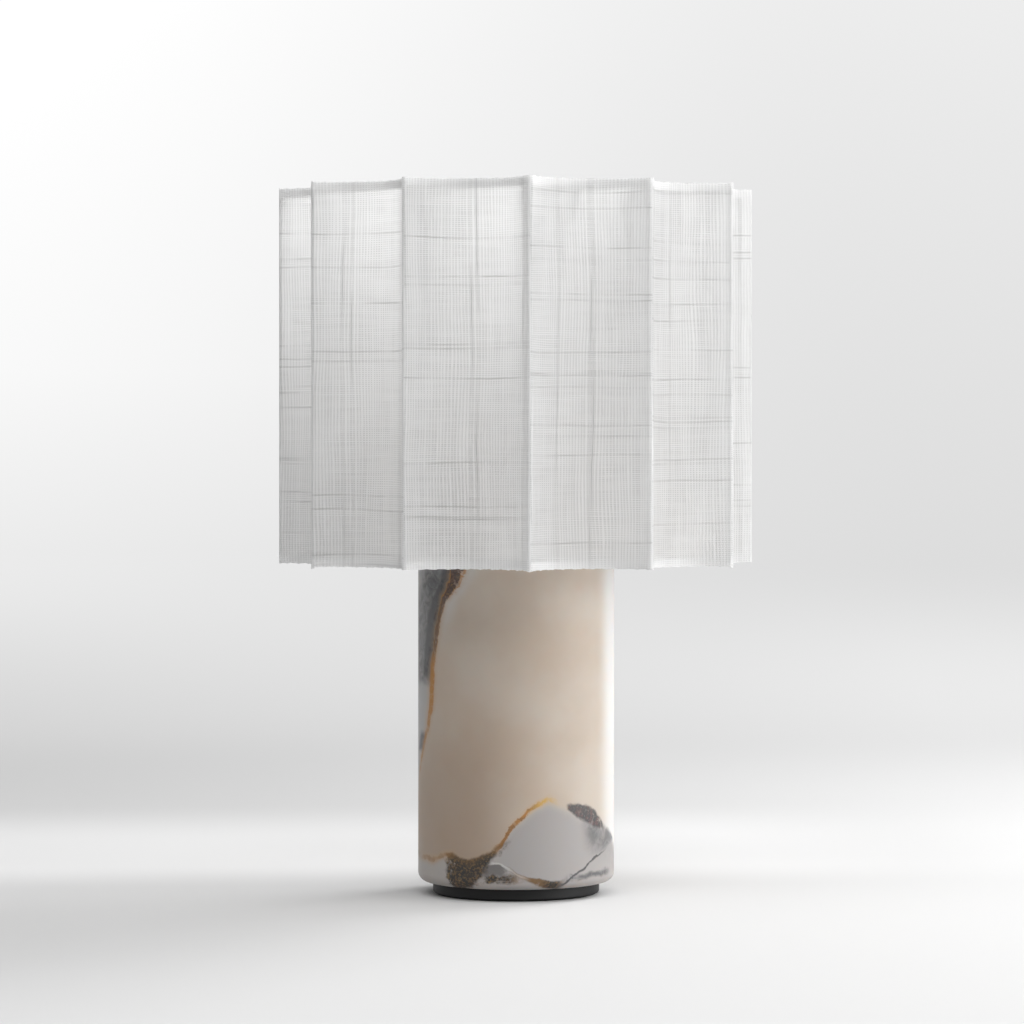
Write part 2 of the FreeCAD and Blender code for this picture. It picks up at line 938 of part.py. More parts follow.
def make_spider():
    keep(
        collar("hub_ring", sheet.hub_radius, sheet.hub_bore, sheet.hub_thickness, z=hub_z),
        "spider_hub",
    )
    arm_z = hub_z + sheet.hub_thickness / 2
    reach = frame_middle + sheet.frame_wire - sheet.arm_radius
    body = new_body("arms")
    path = new_sketch(body, "XZ_Plane", "arm_path")
    draw(
        path,
        (sheet.hub_radius, ZERO),
        [
            (reach - sheet.arm_bend, ZERO),
            (reach, sheet.arm_bend, sheet.arm_bend, True),
            (reach, top_strip_z - arm_z),
        ],
        closed=False,
    )
    section = new_sketch(body, "YZ_Plane", "arm_section", lift=sheet.hub_radius)
    draw_circle(section, ZERO, ZERO, sheet.arm_radius)
    repeated(body, swept(body, path, section), sheet.arm_count)
    keep(place(body, z=arm_z, turn=half_flute * 3), "spider_arms")


def make_linen():
    """Twelve gores, counted from the one to the right of the front ridge."""
    for index in range(SIZES["flute_count"]):
        name = f"linen_panel_{index + 1:02d}"
        body = new_body(f"{name}_body")
        sketch = new_sketch(body, "XY_Plane", f"{name}_section")
        flute_linen_outline(sketch, linen_inner, linen_outer)
        padded(body, sketch, sheet.shade_height)
        keep(place(body, z=shade_z, turn=half_flute * (2 * index + 1) - HALF_TURN / 2), name)


def make_finial():
    bore = sheet.finial_insert_radius + sheet.slip_gap
    insert = collar(
        "finial_bush",
        sheet.finial_insert_radius,
        sheet.finial_insert_bore,
        sheet.finial_insert_length,
        z=finial_z,
    )
    keep(insert, "finial_insert")
    radius = sheet.finial_radius
    top = sheet.finial_height
    edge = sheet.finial_edge_round
    knob = turned(
        "finial_turning",
        (bore, ZERO),
        [
            (radius, ZERO),
            (radius, top - edge),
            (radius - edge, top, edge, True),
            (ZERO, top),
            (ZERO, sheet.finial_well),
            (bore, sheet.finial_well),
            (bore, ZERO),
        ],
    )
    keep(place(knob, z=finial_z), "finial_knob")


# Lampholder

def make_holder_cup():
    """The cup under the lampholder, with a neck that screws on the tube."""
    bore = sheet.tube_radius + sheet.slip_gap
    neck = sheet.neck_radius
    radius = sheet.cup_radius
    wall = sheet.cup_wall
    spring = sheet.neck_height + sheet.cup_cone
    floor = sheet.neck_height + wall
    cup = turned(
        "holder_cup",
        (bore, ZERO),
        [
            (neck, ZERO),
            (neck, sheet.neck_height),
            (radius, spring),
            (radius, sheet.cup_height),
            (radius - wall, sheet.cup_height),
            (radius - wall, spring),
            (neck, floor),
            (bore, floor),
            (bore, ZERO),
        ],
    )
    keep(place(cup, z=holder_z), "holder_cup")


def switch_window(name):
    """The notch that clears the switch shaft, open at the bottom and round at the top."""
    depth = sheet.cup_radius
    height = sheet.switch_height - sheet.core_bottom
    notch = block(
        f"{name}_notch",
        sheet.switch_window * 2,
        depth,
        height,
        y=-depth / 2,
        z=holder_z + sheet.core_bottom,
    )
    head = rod(
        f"{name}_round",
        sheet.switch_window,
        depth,
        z=holder_z + sheet.switch_height,
        axis=(1, 0, 0),
        turn=HALF_TURN / 2,
    )
    return [notch, head]


def make_holder_shell():
    """The metal shell and the card liner inside it."""
    radius = sheet.cup_radius - sheet.cup_wall - sheet.glue_gap
    wall = sheet.shell_wall
    low = sheet.cup_height - sheet.shell_entry
    top = sheet.shell_top
    shell = turned(
        "shell_turning",
        (radius - wall, low),
        [
            (radius, low),
            (radius, top),
            (sheet.shell_lip, top),
            (sheet.shell_lip, top - wall),
            (radius - wall, top - wall),
            (radius - wall, low),
        ],
    )
    place(shell, z=holder_z)
    keep(cut("holder_shell", shell, switch_window("shell")), "holder_shell")
    outside = radius - wall - sheet.glue_gap
    liner = collar(
        "liner_tube",
        outside,
        outside - sheet.liner_wall,
        top - wall - low - sheet.glue_gap * 2,
        z=holder_z + low + sheet.glue_gap,
    )
    keep(cut("holder_liner", liner, switch_window("liner")), "holder_liner")


def make_holder_core():
    """The moulded core with its flats for the terminals and its bore for the switch."""
    height = sheet.core_top - sheet.core_bottom
    blank = rod("core_blank", sheet.core_radius, height, z=holder_z + sheet.core_bottom)
    tools = []
    for name, direction in (("left", -1), ("right", 1)):
        tools.append(
            block(
                f"core_flat_{name}",
                sheet.core_radius,
                sheet.core_radius * 2,
                height - sheet.terminal_head_height,
                x=(sheet.core_flat + sheet.core_radius / 2) * direction,
                z=holder_z + sheet.core_bottom - sheet.overrun,
            )
        )
        tools.append(
            rod(
                f"terminal_hole_{name}",
                sheet.terminal_shank + sheet.slip_gap,
                sheet.terminal_length + sheet.overrun,
                x=(sheet.core_flat - sheet.terminal_length) * direction,
                z=holder_z + sheet.switch_height,
                axis=(0, 1, 0),
                turn=HALF_TURN / 2 * direction,
            )
        )
    tools.append(
        rod(
            "shaft_bore",
            sheet.switch_shaft + sheet.slip_gap,
            sheet.core_radius,
            y=-(sheet.core_radius - sheet.switch_shaft_depth),
            z=holder_z + sheet.switch_height,
            axis=(1, 0, 0),
            turn=HALF_TURN / 2,
        )
    )
    keep(cut("holder_core", blank, tools), "holder_core")


def make_contacts():
    """The screw shell, the sprung centre tongue and the two terminal screws."""
    radius = sheet.screw_shell_radius
    wall = sheet.screw_shell_wall
    floor = sheet.core_top
    shell = turned(
        "screw_shell",
        (sheet.screw_shell_mouth, floor),
        [
            (radius, floor),
            (radius, sheet.screw_shell_top),
            (radius - wall, sheet.screw_shell_top),
            (radius - wall, floor + wall),
            (sheet.screw_shell_mouth, floor + wall),
            (sheet.screw_shell_mouth, floor),
        ],
    )
    keep(place(shell, z=holder_z), "screw_shell")

    foot = sheet.contact_foot
    ramp = sheet.contact_ramp
    rise = sheet.contact_rise
    thick = sheet.contact_thickness
    heel = -(foot + ramp / 2)
    bend = -ramp / 2
    toe = ramp / 2 + sheet.contact_reach
    body = new_body("tongue")
    sketch = new_sketch(body, "XZ_Plane", "tongue_section")
    draw(
        sketch,
        (heel, ZERO),
        [
            (bend, ZERO),
            (-bend, rise),
            (toe, rise),
            (toe, rise + thick),
            (-bend, rise + thick),
            (bend, thick),
            (heel, thick),
            (heel, ZERO),
        ],
    )
    padded(body, sketch, sheet.contact_width, midplane=True)
    keep(place(body, z=holder_z + floor), "centre_contact")

    screws = []
    for name, turn in (("left", -HALF_TURN / 2), ("right", HALF_TURN / 2)):
        head = sheet.terminal_head_height
        low = sheet.core_flat - sheet.terminal_length
        screw = turned(
            f"terminal_{name}",
            (ZERO, low),
            [
                (sheet.terminal_shank, low),
                (sheet.terminal_shank, sheet.core_flat),
                (sheet.terminal_head, sheet.core_flat),
                (sheet.terminal_head, sheet.core_flat + head),
                (ZERO, sheet.core_flat + head),
                (ZERO, low),
            ],
        )
        screws.append(place(screw, z=holder_z + sheet.switch_height, axis=(0, 1, 0), turn=turn))
    keep(group("terminals", screws), "terminal_screws")


def make_switch():
    """The shaft and the flattened knob of the turn switch, pointing forward."""
    forward = {"axis": (1, 0, 0), "turn": HALF_TURN / 2}
    height = holder_z + sheet.switch_height
    start = sheet.core_radius - sheet.switch_shaft_depth
    length = sheet.switch_shaft_depth + sheet.switch_shaft_reach
    shaft = rod("shaft", sheet.switch_shaft, length, y=-start, z=height, **forward)
    keep(shaft, "switch_shaft")
    near = start + length - sheet.knob_cover
    blank = rod("knob_blank", sheet.knob_radius, sheet.knob_length, y=-near, z=height, **forward)
    slab = block(
        "knob_slab",
        sheet.knob_width,
        sheet.knob_length,
        sheet.knob_radius * 2,
        y=-(near + sheet.knob_length / 2),
        z=height - sheet.knob_radius,
    )
    hole = rod("knob_hole", sheet.switch_shaft, sheet.knob_cover, y=-near, z=height, **forward)
    keep(cut("knob", shared("knob_flats", [blank, slab]), [hole]), "switch_knob")


# Bulb

def make_bulb():
    button = sheet.contact_button_height
    keep(
        cone(
            "button",
            sheet.contact_button_radius - button / 2,
            sheet.contact_button_radius,
            button,
            z=bulb_z,
        ),
        "bulb_contact",
    )
    cap_radius = sheet.bulb_cap_radius
    cap_foot = cap_radius - sheet.bulb_cap_chamfer
    glaze = cone(
        "glaze",
        sheet.contact_button_radius,
        cap_foot,
        sheet.bulb_glaze_height,
        z=bulb_z + button,
    )
    keep(glaze, "bulb_glaze")

    cap_z = bulb_z + button + sheet.bulb_glaze_height
    wall = sheet.bulb_cap_wall
    chamfer = sheet.bulb_cap_chamfer
    height = sheet.bulb_cap_height
    cap = turned(
        "bulb_cap",
        (ZERO, ZERO),
        [
            (cap_foot, ZERO),
            (cap_radius, chamfer),
            (cap_radius, height),
            (cap_radius - wall, height),
            (cap_radius - wall, chamfer + wall),
            (cap_foot - wall, wall),
            (ZERO, wall),
            (ZERO, ZERO),
        ],
    )
    keep(place(cap, z=cap_z), "bulb_cap")

    # The flank is one hollow arc, tangent to the straight neck and to the round head.
    neck = sheet.bulb_neck_radius
    ball = sheet.bulb_radius
    skin = sheet.bulb_wall
    low = cap_z - bulb_z + height - sheet.bulb_neck_entry
    bend_z = cap_z - bulb_z + height + sheet.bulb_neck_rise
    top = sheet.bulb_height
    centre = top - ball
    rise = centre - bend_z
    flank = (rise * rise + neck * neck - ball * ball) / ((ball - neck) * 2)
    share = ball / (ball + flank)
    touch_x = (neck + flank) * share
    touch_z = centre - rise * share
    inner_share = (ball - skin) / (ball + flank)
    inner_x = (neck + flank) * inner_share
    inner_z = centre - rise * inner_share
    glass = turned(
        "bulb_glass",
        (neck - skin, low),
        [
            (neck, low),
            (neck, bend_z),
            (touch_x, touch_z, flank, False),
            (ZERO, top, ball, True),
            (ZERO, top - skin),
            (inner_x, inner_z, ball - skin, False),
            (neck - skin, bend_z, flank + skin, True),
            (neck - skin, low),
        ],
    )
    keep(place(glass, z=bulb_z), "bulb_glass")

    disc = sheet.stem_disc_thickness
    collar_radius = sheet.stem_collar
    first = bend_z - wall
    second = first + sheet.filament_length + disc
    stem_z = cap_z + wall
    base = cap_z - bulb_z + wall
    stem = turned(
        "bulb_stem",
        (ZERO, ZERO),
        [
            (sheet.stem_radius, ZERO),
            (sheet.stem_radius, first - base),
            (collar_radius, first - base),
            (collar_radius, first - base + disc),
            (sheet.stem_radius, first - base + disc),
            (sheet.stem_radius, second - base),
            (collar_radius, second - base),
            (collar_radius, second - base + disc),
            (ZERO, second - base + disc),
            (ZERO, ZERO),
        ],
    )
    keep(place(stem, z=stem_z), "bulb_stem")

    body = new_body("filaments")
    sketch = new_sketch(body, "XY_Plane", "filament_section")
    draw_circle(sketch, sheet.filament_circle, ZERO, sheet.filament_radius)
    repeated(body, padded(body, sketch, sheet.filament_length), sheet.filament_count)
    keep(place(body, z=bulb_z + first + disc), "bulb_filaments")


def write_pieces():
    """Stops on any failed object or solid, then writes one file for each piece."""
    doc.recompute()
    for item in doc.Objects:
        if "Invalid" in item.State or "Error" in item.State:
            raise RuntimeError(f"{item.Label} failed: {item.getStatusString()}")
    for item in pieces:
        if item.Shape.isNull() or not item.Shape.isValid() or not item.Shape.Solids:
            raise RuntimeError(f"{item.Label} has no sound solid")
    os.makedirs("parts", exist_ok=True)
    for item in pieces:
        item.Shape.exportStep(f"parts/{item.Label}.step")


fill_sheet()
make_foot()
make_stone()
make_spine()
make_saddle()
make_sleeve("sleeve_left", -1)
make_sleeve("sleeve_right", 1)
make_harp()
make_swivel()
make_strip_ring("shade_bottom_ring", strip_z)
make_strip_ring("shade_top_ring", top_strip_z)
make_ribs()
make_spider()
make_linen()
make_finial()
make_holder_cup()
make_holder_shell()
make_holder_core()
make_contacts()
make_switch()
make_bulb()
write_pieces()
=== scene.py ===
"""Dresses a table lamp: slubbed linen on the fluted shade, veined marble, lacquered steel, satin brass
and an opal bulb, on a plain pale stage.

Lengths are in metres unless a name ends in _mm. The lamp stands on Z = 0 with its axis on Z, and the
front ridge of the shade points to -Y.
"""
import math
from typing import NamedTuple

import bpy
from mathutils import Matrix, Vector


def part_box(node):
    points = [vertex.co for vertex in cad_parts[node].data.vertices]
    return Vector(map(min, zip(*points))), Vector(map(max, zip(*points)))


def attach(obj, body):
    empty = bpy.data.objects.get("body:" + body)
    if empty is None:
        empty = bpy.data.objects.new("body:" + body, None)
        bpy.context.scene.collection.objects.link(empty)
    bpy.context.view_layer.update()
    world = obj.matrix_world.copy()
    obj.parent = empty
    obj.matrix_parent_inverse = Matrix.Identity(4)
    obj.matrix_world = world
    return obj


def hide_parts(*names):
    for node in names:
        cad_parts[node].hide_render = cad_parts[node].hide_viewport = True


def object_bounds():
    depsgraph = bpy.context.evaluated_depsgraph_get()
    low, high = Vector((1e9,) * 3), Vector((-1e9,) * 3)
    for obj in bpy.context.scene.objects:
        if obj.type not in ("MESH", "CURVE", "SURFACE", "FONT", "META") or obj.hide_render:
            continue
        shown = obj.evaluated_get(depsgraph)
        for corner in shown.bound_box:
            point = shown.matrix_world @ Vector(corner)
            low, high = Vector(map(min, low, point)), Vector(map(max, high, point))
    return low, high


bl_info = {
    "name": "Fluted Table Lamp",
    "version": (1, 0, 0),
    "blender": (4, 5, 0),
    "location": "3D View > Sidebar > Lamp",
    "description": "Dresses a table lamp with linen, marble, lacquer and brass",
    "category": "Object",
}

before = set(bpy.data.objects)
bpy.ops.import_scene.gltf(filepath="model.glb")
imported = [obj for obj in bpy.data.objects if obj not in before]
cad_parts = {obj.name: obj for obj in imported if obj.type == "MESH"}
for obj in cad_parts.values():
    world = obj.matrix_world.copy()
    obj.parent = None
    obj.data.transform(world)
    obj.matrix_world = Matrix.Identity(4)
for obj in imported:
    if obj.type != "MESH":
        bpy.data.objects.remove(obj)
cad_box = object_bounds()

MM = 0.001
PER_METRE = 1000.0
FULL_TURN = 2 * math.pi
FRONT = -math.pi / 2

# For a range of values that eases in and out at its ends, and for a mix of colours
EASED = {"interpolation_type": "SMOOTHSTEP"}
OF_COLOURS = {"out": 2, "data_type": "RGBA"}


# Colours, nodes and meshes, shared by the pieces

def linear(code):
    """The linear colour of an sRGB hex code."""
    shares = [int(code[i:i + 2], 16) / 255 for i in (1, 3, 5)]
    return tuple(s / 12.92 if s <= 0.04045 else ((s + 0.055) / 1.055) ** 2.4 for s in shares) + (1.0,)


def put(tree, kind, values, out=0, **settings):
    """Adds a shader node with its settings, and gives each input a value or links a socket to it."""
    node = tree.nodes.new(f"ShaderNode{kind}")
    for name, setting in settings.items():
        setattr(node, name, setting)
    for key, value in values.items():
        if isinstance(value, bpy.types.NodeSocket):
            tree.links.new(value, node.inputs[key])
        else:
            node.inputs[key].default_value = value
    return node.outputs[out] if node.outputs else None


def new_material(name):
    material = bpy.data.materials.new(name)
    material.use_nodes = True
    material.node_tree.nodes.clear()
    return material, material.node_tree


def show(tree, shader):
    put(tree, "OutputMaterial", {"Surface": shader})


def wear(node, material):
    """Gives a carried-over piece its material."""
    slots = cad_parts[node].data.materials
    slots.clear()
    slots.append(material)


def deselect():
    if bpy.context.object and bpy.context.object.mode != "OBJECT":
        bpy.ops.object.mode_set(mode="OBJECT")
    bpy.ops.object.select_all(action="DESELECT")


def millimetres(tree):
    """The place on the piece, in millimetres."""
    place = put(tree, "TexCoord", {}, out="Object")
    return put(tree, "VectorMath", {0: place, "Scale": PER_METRE}, operation="SCALE")


# Sizes and colours that a user would change

def length(text, value):
    return bpy.props.FloatProperty(name=text, description=text, default=value, unit="LENGTH", precision=5)


def colour(text, code):
    return bpy.props.FloatVectorProperty(
        name=text, description=text, default=linear(code), size=4, subtype="COLOR", min=0, max=1
    )


class LampLinen(bpy.types.PropertyGroup):
    gore_count: bpy.props.IntProperty(name="Gores", description="Flutes round the shade", default=12)
    flute_depth: length("Depth of a flute between two ribs", 0.0205)
    cloth_offset: length("Outer face of the cloth, from the middle of the frame's wire", 0.0022)
    thickness: length("Thickness of the cloth", 0.00065)
    slack: length("How far the cloth wanders from its true curve", 0.0004)
    corner: length("How far a gore's corners stand out past its hem", 0.0012)
    fray: length("How unevenly the cut edge of the cloth runs", 0.0004)
    hem: length("Height of the double cloth at the rims", 0.0048)
    allowance: length("Width of the double cloth along a ridge", 0.0075)
    warp_pitch: length("Spacing of the upright threads", 0.0020)
    weft_pitch: length("Spacing of the level threads", 0.00127)
    thread: colour("Bleached linen thread", "#f4f4f4")
    window: colour("Gap between the threads", "#cdcdcd")
    slub: colour("Thick, greyer thread", "#a2a2a1")
    backlit_window: colour("Gap between the threads against the light", "#bcbcbb")
    backlit_slub: colour("Thick thread against the light", "#b4b4b3")


class LampStone(bpy.types.PropertyGroup):
    body: colour("Cream body of the marble", "#baafa3")
    pale: colour("Cool white stone beyond the veins", "#a5a3a2")
    plum: colour("Plum-brown heart of a vein", "#39292a")
    ochre: colour("Ochre rim of a vein", "#a06c2c")
    gold: colour("Golden trace where a vein thins out", "#bf9c4c")
    slate: colour("Slate-grey cloud", "#5b5b5c")


class LampStage(bpy.types.PropertyGroup):
    distance: length("Camera's distance from the lamp's axis", 2.6)
    height: length("Camera's height over the table", 0.2996)
    azimuth: bpy.props.FloatProperty(
        name="Azimuth", description="Camera's turn round the lamp", default=math.radians(-3.2),
        subtype="ANGLE",
    )
    lens_mm: bpy.props.FloatProperty(name="Lens", description="Focal length in millimetres", default=143.2)
    floor: colour("Table and sweep", "#cfcfcf")
    # Painted pool of light on the table just behind the lamp
    painted_light_pool: colour("Table just behind the lamp, where most light falls", "#e5e5e5")
    bounce: colour("Light that the table sends back up", "#cccccc")


# Linen gores

# Steps across a gore's edge, where the cloth turns round the rib, and across its hollow, and up a gore
TURN_STEPS, HOLLOW_STEPS, ROWS = 10, 44, 96
# How far along the rim a gore's corner stands out, and its height at the top beside that below
CORNER_REACH, TOP_CORNER_SHARE = 0.0022, 0.5
# The cut edge is frayed in full from a twentieth of the gore's width on.
FRAY_START = 20


class LAMP_OT_linen_gores(bpy.types.Operator):
    """Stretches twelve gores of slubbed linen over the ribs, each hollow between two ridges"""

    bl_idname = "lamp.linen_gores"
    bl_label = "Linen gores"

    def execute(self, context):
        linen = context.scene.lamp_linen
        cloth = slubbed_linen(linen)
        for number in range(1, linen.gore_count + 1):
            stretch_gore(linen, number, cloth)
        return {"FINISHED"}


def gore_stations(linen):
    """Places across one gore's outer face as (x, y, way), from ridge to ridge.

    x runs out from the lamp's axis through the middle of the gore, y along the rim, and way is the
    length along the cloth.
    """
    half = math.pi / linen.gore_count
    rib_reach = -cad_box[0].y - linen.cloth_offset
    rib = Vector((rib_reach * math.cos(half), rib_reach * math.sin(half)))
    arc = (rib.y ** 2 + linen.flute_depth ** 2) / (2 * linen.flute_depth)
    centre = Vector((rib.x - linen.flute_depth + arc, 0))
    swing = math.asin(rib.y / arc)
    places = []
    for step in range(TURN_STEPS):
        angle = half + (-swing - half) * step / TURN_STEPS
        places.append(rib + linen.cloth_offset * Vector((math.cos(angle), math.sin(angle))))
    for step in range(HOLLOW_STEPS + 1):
        angle = swing * (1 - 2 * step / HOLLOW_STEPS)
        places.append(centre + (arc - linen.cloth_offset) * Vector((-math.cos(angle), math.sin(angle))))
    places += [Vector((p.x, -p.y)) for p in reversed(places[:TURN_STEPS])]
    way = 0
    stations = [(places[0].x, -places[0].y, way)]
    for before, after in zip(places, places[1:]):
        way += (after - before).length
        stations.append((after.x, -after.y, way))
    return stations


def stretch_gore(linen, number, cloth):
    node = f"linen_panel_{number:02d}"
    low, high = (corner.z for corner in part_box(node))
    stations = gore_stations(linen)
    columns = len(stations) - 1
    width = stations[-1][2]
    deselect()
    bpy.ops.mesh.primitive_grid_add(x_subdivisions=columns, y_subdivisions=ROWS, size=1)
    gore = named(f"gore_{number:02d}", cloth)
    mesh = gore.data
    for loop, spot in zip(mesh.loops, mesh.uv_layers.active.data):
        column = round((mesh.vertices[loop.vertex_index].co.x + 0.5) * columns)
        spot.uv.x = stations[column][2] / width
    turn = Matrix.Rotation(FRONT + (number - 0.5) * FULL_TURN / linen.gore_count, 4, "Z")
    for vertex in mesh.vertices:
        column = round((vertex.co.x + 0.5) * columns)
        share = vertex.co.y + 0.5
        x, y, way = stations[column]
        to_ridge = min(way, width - way)
        out = linen.slack * wander(number, to_ridge / width * 2, way / width, share)
        corner = linen.corner * math.exp(-((to_ridge / CORNER_REACH) ** 2))
        uneven = 0.5 + 0.5 * math.sin(number * 2.4 + (7 if way < width / 2 else 3))
        frayed = linen.fray * min(1, to_ridge / width * FRAY_START) * fray(number, column)
        z = low + (high - low) * share
        if share == 0:
            z -= corner * uneven + frayed
        if share == 1:
            z += corner * uneven * TOP_CORNER_SHARE + frayed
        vertex.co = turn @ Vector((x + out, y, z))
    mesh.attributes.new("gore_number", "FLOAT", "POINT").data.foreach_set(
        "value", [float(number)] * len(mesh.vertices)
    )
    thicken = gore.modifiers.new("cloth", "SOLIDIFY")
    thicken.thickness = linen.thickness
    thicken.offset = -1
    bpy.ops.object.modifier_apply(modifier=thicken.name)
    bpy.ops.object.shade_smooth_by_angle(angle=math.radians(50))
    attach(gore, "shade")
    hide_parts(node)


def wander(number, free, across, up):
    """A slow unevenness of the hand-stretched cloth, from -1 to 1, held still at the ribs."""
    return min(1, free) * (
        0.5 * math.sin(across * 4.1 + up * 3.3 + number * 1.7)
        + 0.3 * math.sin(across * 7.3 - up * 8.2 + number * 4.9)
        + 0.2 * math.sin(up * 17.0 + number * 2.3)
    )


def fray(number, column):
    """The uneven run of a cut edge, from -1 to 1, another one on each gore."""
    return math.sin(column * 2.2 + number) * math.sin(column * 0.9 + number * 3.1)


def named(name, material):
    item = bpy.context.object
    item.name = name
    item.data.name = name
    item.data.materials.append(material)
    return item


class Yarn(NamedTuple):
    """One set of threads: how their lines drift, and how often, how long and how thick a slub comes.

    A line drifts by about a fifth of drift_mm to either side, slower along the thread than across it.
    slub_edges are shares of the pitch from the middle of a gap, where a slub's flank starts and ends.
    """

    drift_scales: tuple
    drift_mm: float
    seed: float
    slub_from: float
    slub_run_mm: float
    slub_edges: tuple


WARP = Yarn(
    drift_scales=(1 / 26, 1 / 100, 1.0), drift_mm=6.0, seed=0.0,
    slub_from=0.88, slub_run_mm=60.0, slub_edges=(0.25, 0.43),
)
WEFT = Yarn(
    drift_scales=(1 / 70, 1 / 26, 1.0), drift_mm=4.0, seed=31.0,
    slub_from=0.93, slub_run_mm=40.0, slub_edges=(0.20, 0.41),
)
# How much the gaps and the slubs tone the cloth that is lit from outside, and the gaps against the light
LIT_GAP, LIT_SLUB, BACKLIT_GAP = 0.20, 0.11, 0.55
# How much of the light comes through a thread, a gap, the double cloth of a seam and that of a hem
THROUGH_THREAD, THROUGH_GAP, THROUGH_SEAM, THROUGH_HEM = 0.66, 0.86, 0.58, 0.48
# How far the edge of the double cloth blurs
SOFT_SEAM_MM, SOFT_HEM_MM = 1.2, 1.3
# Each gore is cut from another stretch of the bolt.
BOLT_STEP = 137.0


def run_threads(tree, yarn, way, along, pitch, spot):
    """The gaps' mask, the wave and the slubs of one set of threads, which lie a pitch apart."""
    place, gore, bolt = spot
    scaled = put(tree, "VectorMath", {0: place, 1: yarn.drift_scales}, operation="MULTIPLY")
    drift = put(tree, "TexNoise", {"Vector": scaled, "Scale": 1.0, "Detail": 3.0, "Roughness": 0.45})
    moved = put(tree, "Math", {0: drift, 1: yarn.drift_mm, 2: way}, operation="MULTIPLY_ADD")
    at = put(tree, "Math", {0: moved, 1: pitch * PER_METRE}, operation="DIVIDE")

    # Each thread has its own thickness, which also changes along it.
    number = put(tree, "Math", {0: at}, operation="FLOOR")
    name = put(tree, "Math", {0: gore, 1: yarn.seed}, operation="ADD")
    key = put(tree, "CombineXYZ", {"X": number, "Y": name})
    chance = put(tree, "TexWhiteNoise", {"Vector": key}, noise_dimensions="2D")
    run = put(tree, "Math", {0: along, 1: yarn.slub_run_mm}, operation="DIVIDE")
    apart = put(tree, "Math", {0: number, 1: 5.3}, operation="MULTIPLY")
    route = put(tree, "CombineXYZ", {"X": run, "Y": apart, "Z": bolt})
    slow = put(tree, "TexNoise", {"Vector": route, "Scale": 1.0, "Detail": 3.0})
    middle = put(tree, "Math", {0: at, 1: 0.5}, operation="PINGPONG")
    thin = put(tree, "Math", {0: chance, 1: 0.12, 2: 0.24}, operation="MULTIPLY_ADD")
    thick = put(tree, "MapRange", {0: slow, 1: 0.3, 2: 0.7, 3: thin, 4: 0.08})
    soft = put(tree, "Math", {0: thick, 1: 0.16}, operation="ADD")
    mask = put(tree, "MapRange", {0: middle, 1: thick, 2: soft}, **EASED)
    turn = put(tree, "Math", {0: at, 1: math.pi}, operation="MULTIPLY")
    wave = put(tree, "Math", {0: turn}, operation="SINE")

    # A few threads carry slubs, which come and go along them.
    start, end = yarn.slub_edges
    chosen = put(tree, "Math", {0: chance, 1: yarn.slub_from}, operation="GREATER_THAN")
    present = put(tree, "MapRange", {0: slow, 1: 0.40, 2: 0.62})
    core = put(tree, "MapRange", {0: middle, 1: start, 2: end}, **EASED)
    seen = put(tree, "Math", {0: chosen, 1: present}, operation="MULTIPLY")
    slub = put(tree, "Math", {0: seen, 1: core}, operation="MULTIPLY")
    return mask, wave, slub


def light_through(tree, linen, across, up, window, size_mm):
    """How much light passes: least through double cloth, at both hems and at one side of each ridge."""
    width_mm, height_mm = size_mm
    to_ridge = put(tree, "Math", {0: width_mm, 1: across}, operation="SUBTRACT")
    to_top = put(tree, "Math", {0: height_mm, 1: up}, operation="SUBTRACT")
    to_rim = put(tree, "Math", {0: up, 1: to_top}, operation="MINIMUM")
    through = put(tree, "MapRange", {0: window, 3: THROUGH_THREAD, 4: THROUGH_GAP})
    for near, fold, soft_mm, passing in (
        (to_ridge, linen.allowance, SOFT_SEAM_MM, THROUGH_SEAM),
        (to_rim, linen.hem, SOFT_HEM_MM, THROUGH_HEM),
    ):
        limits = {0: near, 1: fold * PER_METRE + soft_mm, 2: fold * PER_METRE - soft_mm}
        double = put(tree, "MapRange", limits, **EASED)
        through = put(tree, "Mix", {0: double, 2: through, 3: passing})
    return through


